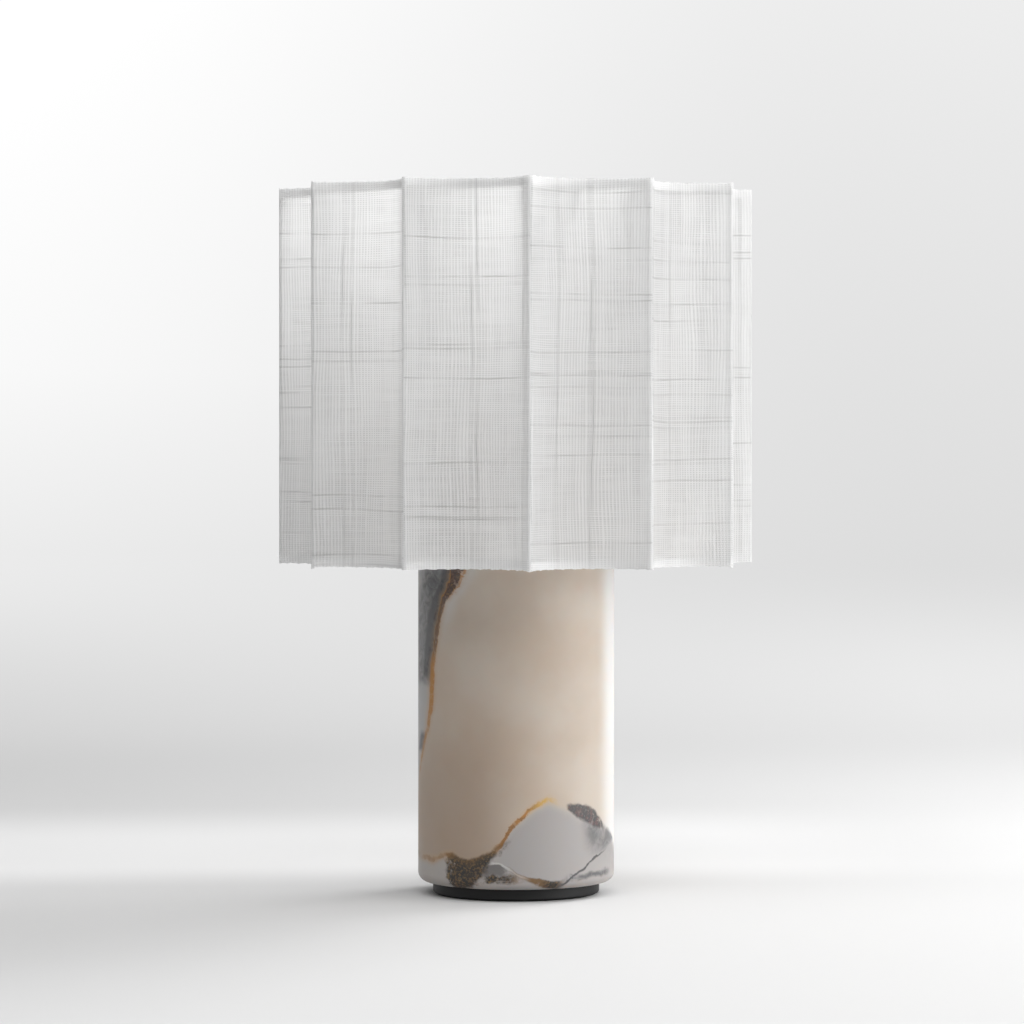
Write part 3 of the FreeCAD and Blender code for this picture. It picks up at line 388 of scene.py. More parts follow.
def slubbed_linen(linen):
    """Plain-woven linen: round bleached threads with small windows between them and odd thick slubs.

    The weave gives a fine grid, sharp against the light and faint where the cloth is lit from outside.
    The cloth is thin enough for light to come through. At the hems and along the ridges it lies
    double, so less light comes through there.
    """
    material, tree = new_material("Slubbed linen, plain weave")
    low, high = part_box("linen_panel_01")
    width_mm = gore_stations(linen)[-1][2] * PER_METRE
    height_mm = (high.z - low.z) * PER_METRE
    uv = put(tree, "UVMap", {}, uv_map="UVMap")
    sides = put(tree, "SeparateXYZ", {0: uv}).node.outputs
    across = put(tree, "Math", {0: sides["X"], 1: width_mm}, operation="MULTIPLY")
    up = put(tree, "Math", {0: sides["Y"], 1: height_mm}, operation="MULTIPLY")
    gore = put(tree, "Attribute", {}, out="Fac", attribute_name="gore_number")
    bolt = put(tree, "Math", {0: gore, 1: BOLT_STEP}, operation="MULTIPLY")
    place = put(tree, "CombineXYZ", {"X": across, "Y": up, "Z": bolt})

    spot = (place, gore, bolt)
    warp_mask, warp_wave, warp_slub = run_threads(tree, WARP, across, up, linen.warp_pitch, spot)
    weft_mask, weft_wave, weft_slub = run_threads(tree, WEFT, up, across, linen.weft_pitch, spot)
    slub = put(tree, "Math", {0: warp_slub, 1: weft_slub}, operation="MAXIMUM")
    filled = put(tree, "Math", {0: warp_mask, 1: weft_mask}, operation="MAXIMUM")
    window = put(tree, "Math", {0: 1.0, 1: filled}, operation="SUBTRACT")

    # One thread rides over the next by turns.
    crossing = put(tree, "Math", {0: warp_wave, 1: weft_wave}, operation="MULTIPLY")
    over = put(tree, "MapRange", {0: crossing, 1: -0.6, 2: 0.6}, **EASED)
    warp_round = put(tree, "Math", {0: warp_wave}, operation="ABSOLUTE")
    weft_round = put(tree, "Math", {0: weft_wave}, operation="ABSOLUTE")
    height = put(tree, "Mix", {0: over, 2: weft_round, 3: warp_round})
    height = put(tree, "Math", {0: slub, 1: 0.5, 2: height}, operation="MULTIPLY_ADD")

    tone = put(tree, "TexNoise", {"Vector": place, "Scale": 1 / 30, "Detail": 2.0})
    tone = put(tree, "MapRange", {0: tone, 1: 0.3, 2: 0.7, 3: 0.0, 4: 0.16})
    thread = put(tree, "Mix", {0: tone, 6: linen.thread, 7: linear("#dedede")}, **OF_COLOURS)
    greyed = put(tree, "Math", {0: slub, 1: LIT_SLUB}, operation="MULTIPLY")
    thread = put(tree, "Mix", {0: greyed, 6: thread, 7: linen.slub}, **OF_COLOURS)
    hollow = put(tree, "Math", {0: window, 1: LIT_GAP}, operation="MULTIPLY")
    face = put(tree, "Mix", {0: hollow, 6: thread, 7: linen.window}, **OF_COLOURS)

    # The weave shows most against the light, where gaps and thick threads stay darker than the soft yarn.
    hollow = put(tree, "Math", {0: window, 1: BACKLIT_GAP}, operation="MULTIPLY")
    against = put(tree, "Mix", {0: hollow, 6: linen.thread, 7: linen.backlit_window}, **OF_COLOURS)
    against = put(tree, "Mix", {0: slub, 6: against, 7: linen.backlit_slub}, **OF_COLOURS)

    bump = put(tree, "Bump", {"Strength": 0.55, "Distance": 0.2 * MM, "Height": height})
    front = put(
        tree,
        "BsdfPrincipled",
        {"Base Color": face, "Roughness": 0.9, "Sheen Weight": 0.12, "Sheen Roughness": 0.5, "Normal": bump},
    )
    behind = put(tree, "BsdfTranslucent", {"Color": against, "Normal": bump})
    through = light_through(tree, linen, across, up, window, (width_mm, height_mm))
    show(tree, put(tree, "MixShader", {0: through, 1: front, 2: behind}))
    return material


# Stone column

class LAMP_OT_stone_column(bpy.types.Operator):
    """Gives the column its honed marble with a dark vein on the left and an arch of veins at the foot"""

    bl_idname = "lamp.stone_column"
    bl_label = "Stone column"

    def execute(self, context):
        wear("stone_column", veined_marble(context.scene.lamp_stone))
        return {"FINISHED"}


# Paths of the veins as (along, across) pairs. Shares of the girth run from the back, by the left and
# the front, to the back again. Shares of the height run up the column.
UPRIGHT_VEIN_SHARES = [
    (0, 0.225), (0.15, 0.235), (0.3, 0.268), (0.36, 0.286), (0.45, 0.31), (0.51, 0.321), (0.57, 0.328),
    (0.66, 0.334), (0.72, 0.34), (0.78, 0.348), (0.83, 0.36), (0.87, 0.378), (0.93, 0.392), (1, 0.4),
]
BACK_VEIN_SHARES = [
    (0, 0.9), (0.14, 0.885), (0.28, 0.86), (0.42, 0.872), (0.55, 0.91), (0.68, 0.93), (0.8, 0.915),
    (0.9, 0.88), (1, 0.86),
]
ARCH_SHARES = [
    (0, 0.16), (0.08, 0.22), (0.16, 0.17), (0.25, 0.09), (0.31, 0.08), (0.334, 0.076), (0.378, 0.102),
    (0.417, 0.086), (0.436, 0.099), (0.452, 0.108), (0.462, 0.118), (0.4725, 0.15), (0.49, 0.196),
    (0.51, 0.226), (0.528, 0.248), (0.546, 0.262), (0.575, 0.243), (0.6, 0.226), (0.627, 0.209),
    (0.652, 0.189), (0.685, 0.158), (0.72, 0.11), (0.79, 0.07), (0.88, 0.11), (1, 0.16),
]
SILL_SHARES = [
    (0, 0.03), (0.2, 0.02), (0.33, 0.02), (0.4, 0.05), (0.454, 0.072), (0.475, 0.0605), (0.499, 0.0375),
    (0.565, 0.0165), (0.588, 0.04), (0.6085, 0.058), (0.632, 0.078), (0.656, 0.095), (0.688, 0.113),
    (0.75, 0.12), (0.86, 0.07), (1, 0.03),
]


# Tones of the marble's smaller marks, with its painted shade and painted highlight
MARBLE_TONES = {
    "warm mottle": "#ad9a88",
    # Painted shade, darker towards the lower left where less light falls
    "painted lower shade": "#958271",
    # Painted highlight, paler on the right side where the light falls
    "painted right highlight": "#cdcbc8",
    "arch grey": "#9d9997",
    "milky halo": "#bfbebd",
    "deep slate": "#3e3e40",
    "vein shadow": "#2b2b2d",
    "blue slate": "#525257",
    "ash": "#625e5d",
    "umber crystal": "#302820",
    "coal crystal": "#242524",
    "rust crystal": "#8a673a",
    "bronze crystal": "#6c5435",
    "straw crystal": "#9a8258",
    "iron stain": "#a5845c",
    "smeared ochre": "#b0803f",
    "olive flesh": "#7d6238",
    "grey flesh": "#55504f",
    "dark flesh": "#3a3734",
    "golden halo": "#c29a5c",
    "rust brown": "#6b4a26",
    "burnt ochre": "#6f4a22",
    "plum fleck": "#57403f",
    "slate fleck": "#39393b",
    "pale fleck": "#756e6b",
    "grey line": "#414143",
    "calcite": "#e6e2dd",
    "brown seam": "#77624c",
}
# Size in millimetres, detail, roughness and distortion of crystals, clots of them, streaks and clouds
MARBLE_MARKS = (
    (1.6, 3, 0.7, 0),
    (4.5, 4, 0.7, 0),
    (9, 5, 0.62, 0.8),
    (48, 3, 0.5, 0),
)


class Marble:
    """The column's marble while it is painted, layer over layer.

    A limit is a tuple of a value, where its effect starts and where it is full, with what it gives at
    both if that isn't 0 and 1. The values are shares of the girth, with the front at 0.5, shares of the
    height, millimetres past a vein, or levels of a noise. A tone is a colour or a name from MARBLE_TONES.
    """

    def __init__(self, tree, body):
        low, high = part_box("stone_column")
        self.tree = tree
        self.ground = body
        self.girth_mm = FULL_TURN * high.x * PER_METRE
        self.height_mm = (high.z - low.z) * PER_METRE
        self.place = millimetres(tree)
        sides = put(tree, "SeparateXYZ", {0: self.place}).node.outputs
        forward = put(tree, "Math", {0: sides["Y"], 1: -1}, operation="MULTIPLY")
        angle = put(tree, "Math", {0: sides["X"], 1: forward}, operation="ARCTAN2")
        self.girth = put(tree, "Math", {0: angle, 1: 1 / FULL_TURN, 2: 0.5}, operation="MULTIPLY_ADD")
        above = put(tree, "Math", {0: sides["Z"], 1: low.z * PER_METRE}, operation="SUBTRACT")
        level = put(tree, "Math", {0: above, 1: self.height_mm}, operation="DIVIDE")

        # Veins wander: slowly over centimetres, and raggedly over a millimetre or two.
        gentle = self.wandering(26, 3.5, 2, (self.girth, level))
        self.across, self.up = self.wandering(5, 1.6, 4, gentle)
        marks = []
        for size_mm, detail, roughness, distortion in MARBLE_MARKS:
            values = {"Vector": self.place, "Scale": 1 / size_mm, "Detail": detail}
            values |= {"Roughness": roughness, "Distortion": distortion}
            marks.append(put(tree, "TexNoise", values))
        self.crystal, self.clot, self.streak, self.cloud = marks
        self.past_vein = self.past(UPRIGHT_VEIN_SHARES, self.girth_mm, self.up, self.across)
        self.past_vein_soft = self.past(UPRIGHT_VEIN_SHARES, self.girth_mm, gentle[1], gentle[0])
        self.past_back = self.past(BACK_VEIN_SHARES, self.girth_mm, self.up, self.across)
        self.over_arch = self.past(ARCH_SHARES, self.height_mm, self.across, self.up)
        self.over_sill = self.past(SILL_SHARES, self.height_mm, self.across, self.up)

    def wandering(self, period_mm, reach_mm, detail, shares):
        """The shares of the girth and the height, each moved by a noise of its own."""
        values = {"Vector": self.place, "Scale": 1 / period_mm, "Detail": detail, "Roughness": 0.6}
        noise = put(self.tree, "TexNoise", values, out="Color")
        parts = put(self.tree, "SeparateColor", {0: noise}).node.outputs
        moved = []
        for share, part, whole_mm in zip(shares, parts, (self.girth_mm, self.height_mm)):
            reach = 2 * reach_mm / whole_mm
            centred = put(self.tree, "Math", {0: part, 1: 0.5}, operation="SUBTRACT")
            moved.append(put(self.tree, "Math", {0: centred, 1: reach, 2: share}, operation="MULTIPLY_ADD"))
        return moved

    def past(self, shares, whole_mm, along, across):
        """How far, in millimetres, a place lies past a vein, whose path is given by its shares."""
        curve = put(self.tree, "FloatCurve", {"Factor": 1, "Value": along}).node
        points = curve.mapping.curves[0].points
        while len(points) < len(shares):
            points.new(0.5, 0.5)
        for point, share in zip(points, shares):
            point.location = share
        curve.mapping.update()
        gap = put(self.tree, "Math", {0: across, 1: curve.outputs[0]}, operation="SUBTRACT")
        return put(self.tree, "Math", {0: gap, 1: whole_mm}, operation="MULTIPLY")

    def over_level(self, level_mm):
        """How far, in millimetres, a place lies over a level above the column's foot."""
        values = {0: self.up, 1: self.height_mm, 2: -level_mm}
        return put(self.tree, "Math", values, operation="MULTIPLY_ADD")

    def near(self, distance, half_mm, soft_mm):
        """1 up to half_mm from a vein or a level, and 0 from soft_mm further out."""
        size = put(self.tree, "Math", {0: distance}, operation="ABSOLUTE")
        outer = put(self.tree, "Math", {0: half_mm, 1: soft_mm}, operation="ADD")
        return put(self.tree, "MapRange", {0: size, 1: outer, 2: half_mm}, **EASED)

    def within(self, *parts):
        """The product of shares and limits."""
        product = None
        for part in parts:
            if isinstance(part, tuple):
                value, start, full, *ends = part
                least, most = ends or (0, 1)
                limits = {0: value, 1: start, 2: full, 3: least, 4: most}
                part = put(self.tree, "MapRange", limits, **EASED)
            if product is not None:
                part = put(self.tree, "Math", {0: product, 1: part}, operation="MULTIPLY")
            product = part
        return product

    def any_of(self, first, *others):
        """The largest of some shares."""
        for other in others:
            first = put(self.tree, "Math", {0: first, 1: other}, operation="MAXIMUM")
        return first

    def toned(self, under, over, *parts):
        """A tone laid over another one within the parts."""
        under, over = (linear(MARBLE_TONES[t]) if isinstance(t, str) else t for t in (under, over))
        share = self.within(*parts)
        return put(self.tree, "Mix", {0: share, 6: under, 7: over}, **OF_COLOURS)

    def paint(self, tone, *parts):
        """Lays a tone over the ground within the parts."""
        self.ground = self.toned(self.ground, tone, *parts)


def veined_marble(stone):
    """Honed marble: cream, a little deep to light, with iron-stained veins and slate-grey clouds.

    Honing leaves it matt, so the eye sees its tones and hardly a reflection. Light goes in a few
    millimetres and softens the shadow's edge.
    """
    material, tree = new_material("Marble, honed, iron-veined")
    marble = Marble(tree, stone.body)
    lay_ground(marble, stone)
    lay_slate_clouds(marble, stone)
    lay_speckled_mass(marble)
    lay_upright_vein(marble, stone)
    lay_arch(marble, stone)
    lay_sill(marble)
    lay_back_veins(marble, stone)
    pits = put(tree, "Bump", {"Strength": 0.08, "Distance": 0.1 * MM, "Height": marble.crystal})
    shader = put(
        tree,
        "BsdfPrincipled",
        {
            "Base Color": marble.ground,
            "Roughness": marble.within((marble.cloud, 0.3, 0.7, 0.5, 0.57)),
            "IOR": 1.5,
            "Sheen Weight": 0.08,
            "Sheen Roughness": 0.35,
            "Subsurface Weight": 0.6,
            "Subsurface Radius": (1, 0.6, 0.4),
            "Subsurface Scale": 12 * MM,
            "Normal": pits,
        },
    )
    show(tree, shader)
    return material


def lay_ground(marble, stone):
    """Cream stone, cooler and paler left of the upright vein and within the arch, with painted shade towards
    the lower left and a painted highlight on the right side.
    """
    girth, up, over_arch = marble.girth, marble.up, marble.over_arch
    marble.paint("warm mottle", (marble.cloud, 0.35, 0.68, 0, 0.5))
    # Painted shade: darker towards the bottom and the left, away from the light.
    marble.paint("painted lower shade", (up, 0.72, 0.2), (girth, 0.54, 0.42), (girth, 0.04, 0.26), 0.75)
    # Painted highlight: paler on the right side, where the light falls.
    marble.paint("painted right highlight", (girth, 0.64, 0.69), (girth, 0.78, 0.71))
    cool_left = marble.within((marble.past_vein_soft, 0, -10), (girth, 0.02, 0.24))
    inside = marble.within((over_arch, 0.5, -9), (girth, 0.44, 0.48), (girth, 0.84, 0.74))
    below = marble.within((over_arch, 0, -6, 0, 0.75))
    marble.paint(stone.pale, marble.any_of(cool_left, inside, below))
    marble.paint("arch grey", inside)


def lay_slate_clouds(marble, stone):
    """Slate: left of the upright vein near the top, under the arch's right, and low at the right."""
    across, up, clot, streak = marble.across, marble.up, marble.clot, marble.streak
    past, soft_past, past_back = marble.past_vein, marble.past_vein_soft, marble.past_back
    marble.paint("milky halo", (soft_past, -1, 3), (soft_past, 17, 6), (up, 0.68, 0.86), 0.7)

    high_left = marble.within((past, 1, -2), (past, -54, -26), (up, 0.57, 0.605))
    slate = marble.toned(stone.slate, "deep slate", (up, 0.74, 0.87))
    marble.paint(slate, high_left, (streak, 0.28, 0.7, 0.45, 0.95))

    beside = put(marble.tree, "Math", {0: past, 1: 6.6}, operation="ADD")
    core = marble.within(marble.near(beside, 4.2, 4), (up, 0.595, 0.63), (streak, 0.34, 0.62, 0.95, 0.35))
    marble.paint("vein shadow", core, (clot, 0.3, 0.6, 0.75, 1))

    patch = marble.near(marble.over_level(90), 4, 5)
    patch = marble.within((past, 2, -2), (past, -16, -7), patch)
    marble.paint("blue slate", patch, (streak, 0.3, 0.5, 0.5, 0.95))

    over_arch, over_sill = marble.over_arch, marble.over_sill
    under_arch = marble.within((over_arch, 2, -2), (over_arch, -30, -9))
    right = marble.within((across, 0.6, 0.635), (across, 0.8, 0.71), (over_sill, -1, 3, 0.25, 1))
    marble.paint(stone.slate, under_arch, right, (streak, 0.26, 0.6, 0.4, 0.9))

    smear = marble.near(marble.over_level(7.5), 0.2, 2.8)
    low_right = marble.within(smear, (across, 0.568, 0.59), (across, 0.7, 0.665))
    marble.paint(stone.slate, low_right, (streak, 0.34, 0.56, 0.2, 1))

    behind = marble.within((past_back, 0.5, -1.5), (past_back, -30, -10))
    marble.paint(stone.slate, behind, (streak, 0.36, 0.62), 0.7)


def lay_speckled_mass(marble):
    """Dark crystals at the left of the arch's foot, and in two bands from there to the right."""
    across, up, clot, streak = marble.across, marble.up, marble.clot, marble.streak
    over_sill = marble.over_sill
    torn = put(marble.tree, "Math", {0: clot, 1: 0.03, 2: across}, operation="MULTIPLY_ADD")
    torn = put(marble.tree, "Math", {0: streak, 1: 0.04, 2: torn}, operation="MULTIPLY_ADD")
    leaning = put(marble.tree, "Math", {0: up, 1: -0.48, 2: torn}, operation="MULTIPLY_ADD")
    sides = marble.within((torn, 0.402, 0.416), (leaning, 0.457, 0.437))
    mass = marble.within((marble.over_arch, 2.2, -0.4), sides, (up, 0.15, 0.125))

    ashen = marble.within((over_sill, 0.4, -0.8), (over_sill, -9, -5))
    marble.paint("ash", ashen, (torn, 0.462, 0.476), (torn, 0.52, 0.495), 0.9)

    ragged_half = marble.within((streak, 0.36, 0.6, 0.1, 2))
    lower_band = marble.within((torn, 0.464, 0.486), (torn, 0.548, 0.512), (clot, 0.3, 0.5, 0.5, 1))
    lower_band = marble.within(marble.near(marble.over_level(6.4), ragged_half, 2.4), lower_band)
    widening_half = marble.within((across, 0.5, 0.54), 1.9)
    sill_band = marble.near(over_sill, widening_half, 1.8)
    sill_band = marble.within(sill_band, (across, 0.47, 0.49), (across, 0.58, 0.556))
    speckled = marble.any_of(mass, lower_band, sill_band)

    crystals = marble.toned("umber crystal", "coal crystal", (clot, 0.42, 0.58))
    crystals = marble.toned(crystals, "rust crystal", (across, 0.47, 0.5), (across, 0.55, 0.525), 0.55)
    crystals = marble.toned(crystals, "bronze crystal", (marble.crystal, 0.47, 0.6, 0, 0.75))
    crystals = marble.toned(crystals, "straw crystal", (streak, 0.58, 0.7, 0, 0.5))
    marble.paint(crystals, speckled, (clot, 0.24, 0.4, 0.7, 1))


def lay_upright_vein(marble, stone):
    """A plum heart with ochre rims, wide at the top and a thin smeared thread below."""
    up, clot, streak, past = marble.up, marble.clot, marble.streak, marble.past_vein
    swell = marble.within((up, 0.82, 0.88, 1, 3.4), (up, 0.3, 0.6, 0.5, 1))
    half = marble.within(swell, (streak, 0.34, 0.62, 0.75, 1.3))
    fade = marble.within((up, 0.28, 0.38))
    marble.paint("iron stain", marble.near(past, marble.within(half, 1.2), 6), fade, 0.32)
    smeared = marble.within(marble.near(past, 1, 2.2), (up, 0.46, 0.57), (up, 0.7, 0.63))
    marble.paint("smeared ochre", smeared, (clot, 0.26, 0.52, 0.5, 1), 0.8)
    rim = marble.near(past, marble.within(half, 1.3), 1.6)
    marble.paint(stone.ochre, rim, (clot, 0.34, 0.56, 0.35, 1), fade, 0.8)

    flesh = marble.toned(stone.plum, "olive flesh", (clot, 0.5, 0.6, 0, 0.75))
    flesh = marble.toned(flesh, "grey flesh", (streak, 0.46, 0.64, 0, 0.7))
    flesh = marble.toned(flesh, "dark flesh", (up, 0.8, 0.86, 0.75, 0))
    heart = marble.within(marble.near(past, half, 1.3), (up, 0.64, 0.72), (up, 0.8, 0.86, 0.7, 1))
    marble.paint(flesh, heart, (clot, 0.32, 0.48, 0.45, 1), 0.95)


def lay_arch(marble, stone):
    """The arch: golden on the left, plum and slate on the right."""
    across, clot, streak, over_arch = marble.across, marble.clot, marble.streak, marble.over_arch
    gold_run = marble.within((across, 0.28, 0.31), (across, 0.565, 0.535))
    clear_run = marble.within((across, 0.452, 0.47, 0.2, 1))
    faint_run = marble.within((across, 0.4, 0.38, 0, 0.55))
    strength = marble.within(gold_run, marble.any_of(clear_run, faint_run))
    marble.paint("golden halo", marble.near(over_arch, 0.8, 4), strength, 0.3)

    uneven = marble.within((clot, 0.38, 0.62, 0.1, 1.1))
    heavier = marble.within((across, 0.45, 0.462), (across, 0.515, 0.478), 1.2)
    half = put(marble.tree, "Math", {0: uneven, 1: heavier}, operation="ADD")
    tone = marble.toned(stone.ochre, "rust brown", (clot, 0.44, 0.6, 0, 0.75))
    tone = marble.toned(tone, "burnt ochre", (across, 0.5, 0.476, 0, 0.6))
    tone = marble.toned(tone, stone.gold, (across, 0.5, 0.54))
    trace = marble.within(marble.near(over_arch, half, 1.5), strength)
    marble.paint(tone, trace, (streak, 0.34, 0.5, 0.55, 1), 0.9)

    swell = marble.within((across, 0.57, 0.602), (across, 0.668, 0.636), 3.4)
    flecks = marble.toned("plum fleck", "slate fleck", (clot, 0.38, 0.54))
    flecks = marble.toned(flecks, "pale fleck", (marble.crystal, 0.52, 0.66, 0, 0.5))
    wide = marble.within(marble.near(over_arch, swell, 2.4), (swell, 0.05, 0.8))
    marble.paint(flecks, wide, (streak, 0.3, 0.44, 0.45, 1), 0.95)


def lay_sill(marble):
    """The sill: a fine grey line that rises to the right, and a pale one at its left end."""
    across, over_sill = marble.across, marble.over_sill
    ragged_half = marble.within((marble.streak, 0.36, 0.6, 0, 0.4))
    line = marble.near(over_sill, ragged_half, 0.9)
    marble.paint("grey line", line, (across, 0.555, 0.575), (across, 0.68, 0.642), 0.95)
    pale_line = marble.near(over_sill, 0.2, 0.9)
    marble.paint("calcite", pale_line, (across, 0.445, 0.455), (across, 0.52, 0.5), 0.35)


def lay_back_veins(marble, stone):
    """The vein at the back, and the arch where it runs on behind."""
    across, past_back = marble.across, marble.past_back
    marble.paint(stone.ochre, marble.near(past_back, 2, 2), 0.7)
    marble.paint(stone.plum, marble.near(past_back, 1.3, 1.6), (marble.clot, 0.3, 0.48))
    left_run = marble.within((across, 0.29, 0.25))
    right_run = marble.within((across, 0.74, 0.8))
    seam = marble.near(marble.over_arch, 0.8, 1.8)
    marble.paint("brown seam", seam, marble.any_of(left_run, right_run), 0.7)


# Plain finishes of the carried-over pieces

# A finish's dark spots: how far they go towards the darker tone, and how light that tone is
MOST_TINT, TINT_LEVEL = 0.12, 0.72


def even_finish(
    name, code, roughness, metallic=0.0, *,
    period_mm=2.0, relief_mm=0.02, spread=0.06, stretch=None, **extra
):
    """A finish with a fine, slightly uneven surface, whose marks are about period_mm apart.

    Its roughness varies by the spread to either side. stretch packs the marks closer along an axis
    where it is over 1, and draws them out where it is under 1.
    """
    material, tree = new_material(name)
    place = millimetres(tree)
    if stretch:
        place = put(tree, "VectorMath", {0: place, 1: stretch}, operation="MULTIPLY")
    noise = put(tree, "TexNoise", {"Vector": place, "Scale": 1 / period_mm, "Detail": 4.0, "Roughness": 0.6})
    rough = put(tree, "MapRange", {0: noise, 1: 0.3, 2: 0.7, 3: roughness - spread, 4: roughness + spread})
    tint = put(tree, "MapRange", {0: noise, 1: 0.3, 2: 0.7, 3: 0.0, 4: MOST_TINT})
    base = linear(code)
    darker = tuple(v * TINT_LEVEL for v in base[:3]) + (1.0,)
    tone = put(tree, "Mix", {0: tint, 6: base, 7: darker}, **OF_COLOURS)
    bump = put(tree, "Bump", {"Strength": 0.25, "Distance": relief_mm * MM, "Height": noise})
    values = {"Base Color": tone, "Roughness": rough, "Metallic": metallic, "Normal": bump}
    values.update(extra)
    show(tree, put(tree, "BsdfPrincipled", values))
    return material


class LAMP_OT_foot(bpy.types.Operator):
    """Finishes the foot disc, its felt and its screws"""

    bl_idname = "lamp.foot"
    bl_label = "Foot"

    def execute(self, context):
        # Baked powder: a deep black with a broad, dull sheen and a faint orange-peel.
        wear("foot_plate", even_finish(
            "Powder coat, satin black", "#0b0b0c", 0.55, period_mm=0.5, relief_mm=0.03,
            **{"Specular IOR Level": 0.3},
        ))
        # Matted wool: it drinks the light, and its fibres give a soft nap.
        wear("foot_pad", even_finish("Wool felt, pressed", "#1b1b1b", 0.95, period_mm=0.35, relief_mm=0.15))
        wear("foot_screws", zinc_plate())
        # Drawn rod: warm yellow, with the soft shine of metal that was never polished.
        wear("foot_inserts", even_finish("Brass, drawn", "#b8934a", 0.35, 1.0))
        # Carbon-filled rubber: nearly black, greyed by a blurred shine.
        wear("cord_grommet", even_finish("Rubber, moulded", "#1a1a1a", 0.7, period_mm=0.4, relief_mm=0.02))
        return {"FINISHED"}


def zinc_plate():
    """Thin bright zinc on steel: a cool grey, with slightly blurred and cloudy reflections."""
    return even_finish("Steel, zinc-plated", "#b9bcc0", 0.36, 1.0, period_mm=1.2, relief_mm=0.01)


class LAMP_OT_fittings(bpy.types.Operator):
    """Finishes the tube, nuts, cap, saddle, harp, swivel and finial"""

    bl_idname = "lamp.fittings"
    bl_label = "Fittings"

    def execute(self, context):
        zinc = zinc_plate()
        for node in ("clamp_washer", "clamp_nut", "threaded_tube"):
            wear(node, zinc)
        # Brass from the lathe: the tool leaves fine rings, which draw the highlights out.
        turned = even_finish(
            "Brass, satin turned", "#c09a55", 0.33, 1.0, period_mm=0.9, relief_mm=0.01,
            stretch=(0.15, 0.15, 3.0),
        )
        for node in (
            "column_cap", "saddle_nut", "harp_saddle", "sleeve_left", "sleeve_right", "harp_bow",
            "swivel_stud", "finial_insert", "holder_cup", "holder_shell",
        ):
            wear(node, turned)
        # The same coat as the foot's, smoother where fingers turn it.
        knob_coat = even_finish("Powder coat, satin black", "#141415", 0.4, period_mm=0.5, relief_mm=0.03)
        wear("finial_knob", knob_coat)
        # Fused glaze on wire: white, with a soft gloss that pools and waves a little.
        enamel = even_finish("Enamel on steel wire, white", "#eeeeec", 0.45, period_mm=1.5, relief_mm=0.02)
        for node in ("shade_top_ring", "shade_bottom_ring", "shade_ribs", "spider_hub", "spider_arms"):
            wear(node, enamel)
        return {"FINISHED"}


class LAMP_OT_lampholder(bpy.types.Operator):
    """Finishes the inside of the lampholder and its turn switch"""

    bl_idname = "lamp.lampholder"
    bl_label = "Lampholder"

    def execute(self, context):
        # Pressed resin: brown-black and glossy from the mould.
        phenolic = even_finish("Phenolic, moulded black", "#191715", 0.3, period_mm=0.8, relief_mm=0.01)
        wear("holder_core", phenolic)
        wear("switch_knob", phenolic)
        # Pressed fibre: dull and straw-coloured, with a faint tooth.
        card = even_finish("Insulating card, pressed", "#c8b78f", 0.85, period_mm=0.7, relief_mm=0.05)
        wear("holder_liner", card)
        # Rolled sheet, stamped and left bright: a clear yellow shine.
        brass = even_finish("Brass, stamped bright", "#cfa65c", 0.22, 1.0, period_mm=1.6, relief_mm=0.01)
        for node in ("screw_shell", "centre_contact", "terminal_screws"):
            wear(node, brass)
        wear("switch_shaft", nickel_plate(0.2))
        return {"FINISHED"}


def nickel_plate(roughness):
    """Bright nickel on steel: a warm, light grey that mirrors almost clearly."""
    return even_finish("Steel, nickel-plated", "#c4c2be", roughness, 1.0)


class LAMP_OT_bulb(bpy.types.Operator):
    """Finishes the opal bulb and its screw cap"""

    bl_idname = "lamp.bulb"
    bl_label = "Bulb"

    def execute(self, context):
        # Milky glass: light goes in and spreads, under a smooth shine with slow blown waves.
        wear("bulb_glass", even_finish(
            "Glass, opal blown", "#f4f2ec", 0.12, period_mm=14.0, relief_mm=0.05, spread=0.03,
            **{"Subsurface Weight": 0.4, "Subsurface Radius": (1, 1, 1), "Subsurface Scale": 3 * MM},
            IOR=1.5,
        ))
        # Thin rolled shell: pale grey, half blurred.
        wear("bulb_cap", even_finish("Aluminium, rolled", "#c9cacc", 0.3, 1.0, period_mm=1.0, relief_mm=0.02))
        wear("bulb_contact", nickel_plate(0.25))
        # Black glass that was poured around the contact: dark, with a sharp shine.
        wear("bulb_glaze", even_finish("Glass, black vitrite", "#141418", 0.15))
        # Clear glass, a little green in its thickness.
        wear("bulb_stem", even_finish(
            "Glass, clear pressed", "#e6ecec", 0.08, **{"Transmission Weight": 0.8}
        ))
        # Powder in resin: matt yellow while it is off.
        wear("bulb_filaments", even_finish("Phosphor coat, yellow", "#d9a63c", 0.7, period_mm=0.5))
        return {"FINISHED"}


# Stage

# The sweep's width, its front edge, where its back rises and how high, and the radius of its bend
SWEEP_WIDTH, SWEEP_FRONT, SWEEP_BACK, SWEEP_HEIGHT, SWEEP_BEND = 14, -7, 2.8, 5, 1.6
# The paper's fibres lie about 3 mm apart.
FIBRES_PER_METRE = 330.0
# How bright the world is as a light, and the plain backdrop that shows where the sweep ends
WORLD_LIGHT, WORLD_SEEN = 0.30, 1.0
# Shares of the picture's width by which the lens is shifted, to put the lamp where it belongs
SHIFT_RIGHT, SHIFT_UP = -0.004, -0.087
# Name, place, width and height, and power in watts
SOFTBOXES = (
    ("side_softbox", (1.62, -0.55, 0.40), (1.5, 1.2), 28.0),
    ("rear_softbox", (1.20, 0.82, 1.15), (0.8, 0.8), 21.5),
    ("ceiling_softbox", (-0.2, -0.9, 1.55), (1.8, 1.8), 22.5),
)
SOFTBOX_AIM = Vector((0, 0, 0.22))


class LAMP_OT_stage(bpy.types.Operator):
    """Sets up the pale sweep, the soft lights and the camera"""

    bl_idname = "lamp.stage"
    bl_label = "Stage"

    def execute(self, context):
        stage = context.scene.lamp_stage
        lay_sweep(stage)
        for name, place, size, watts in SOFTBOXES:
            add_light(name, place, size, watts)
        light_world(context.scene)
        place_camera(stage, context.scene)
        context.scene.view_settings.view_transform = "Standard"
        return {"FINISHED"}


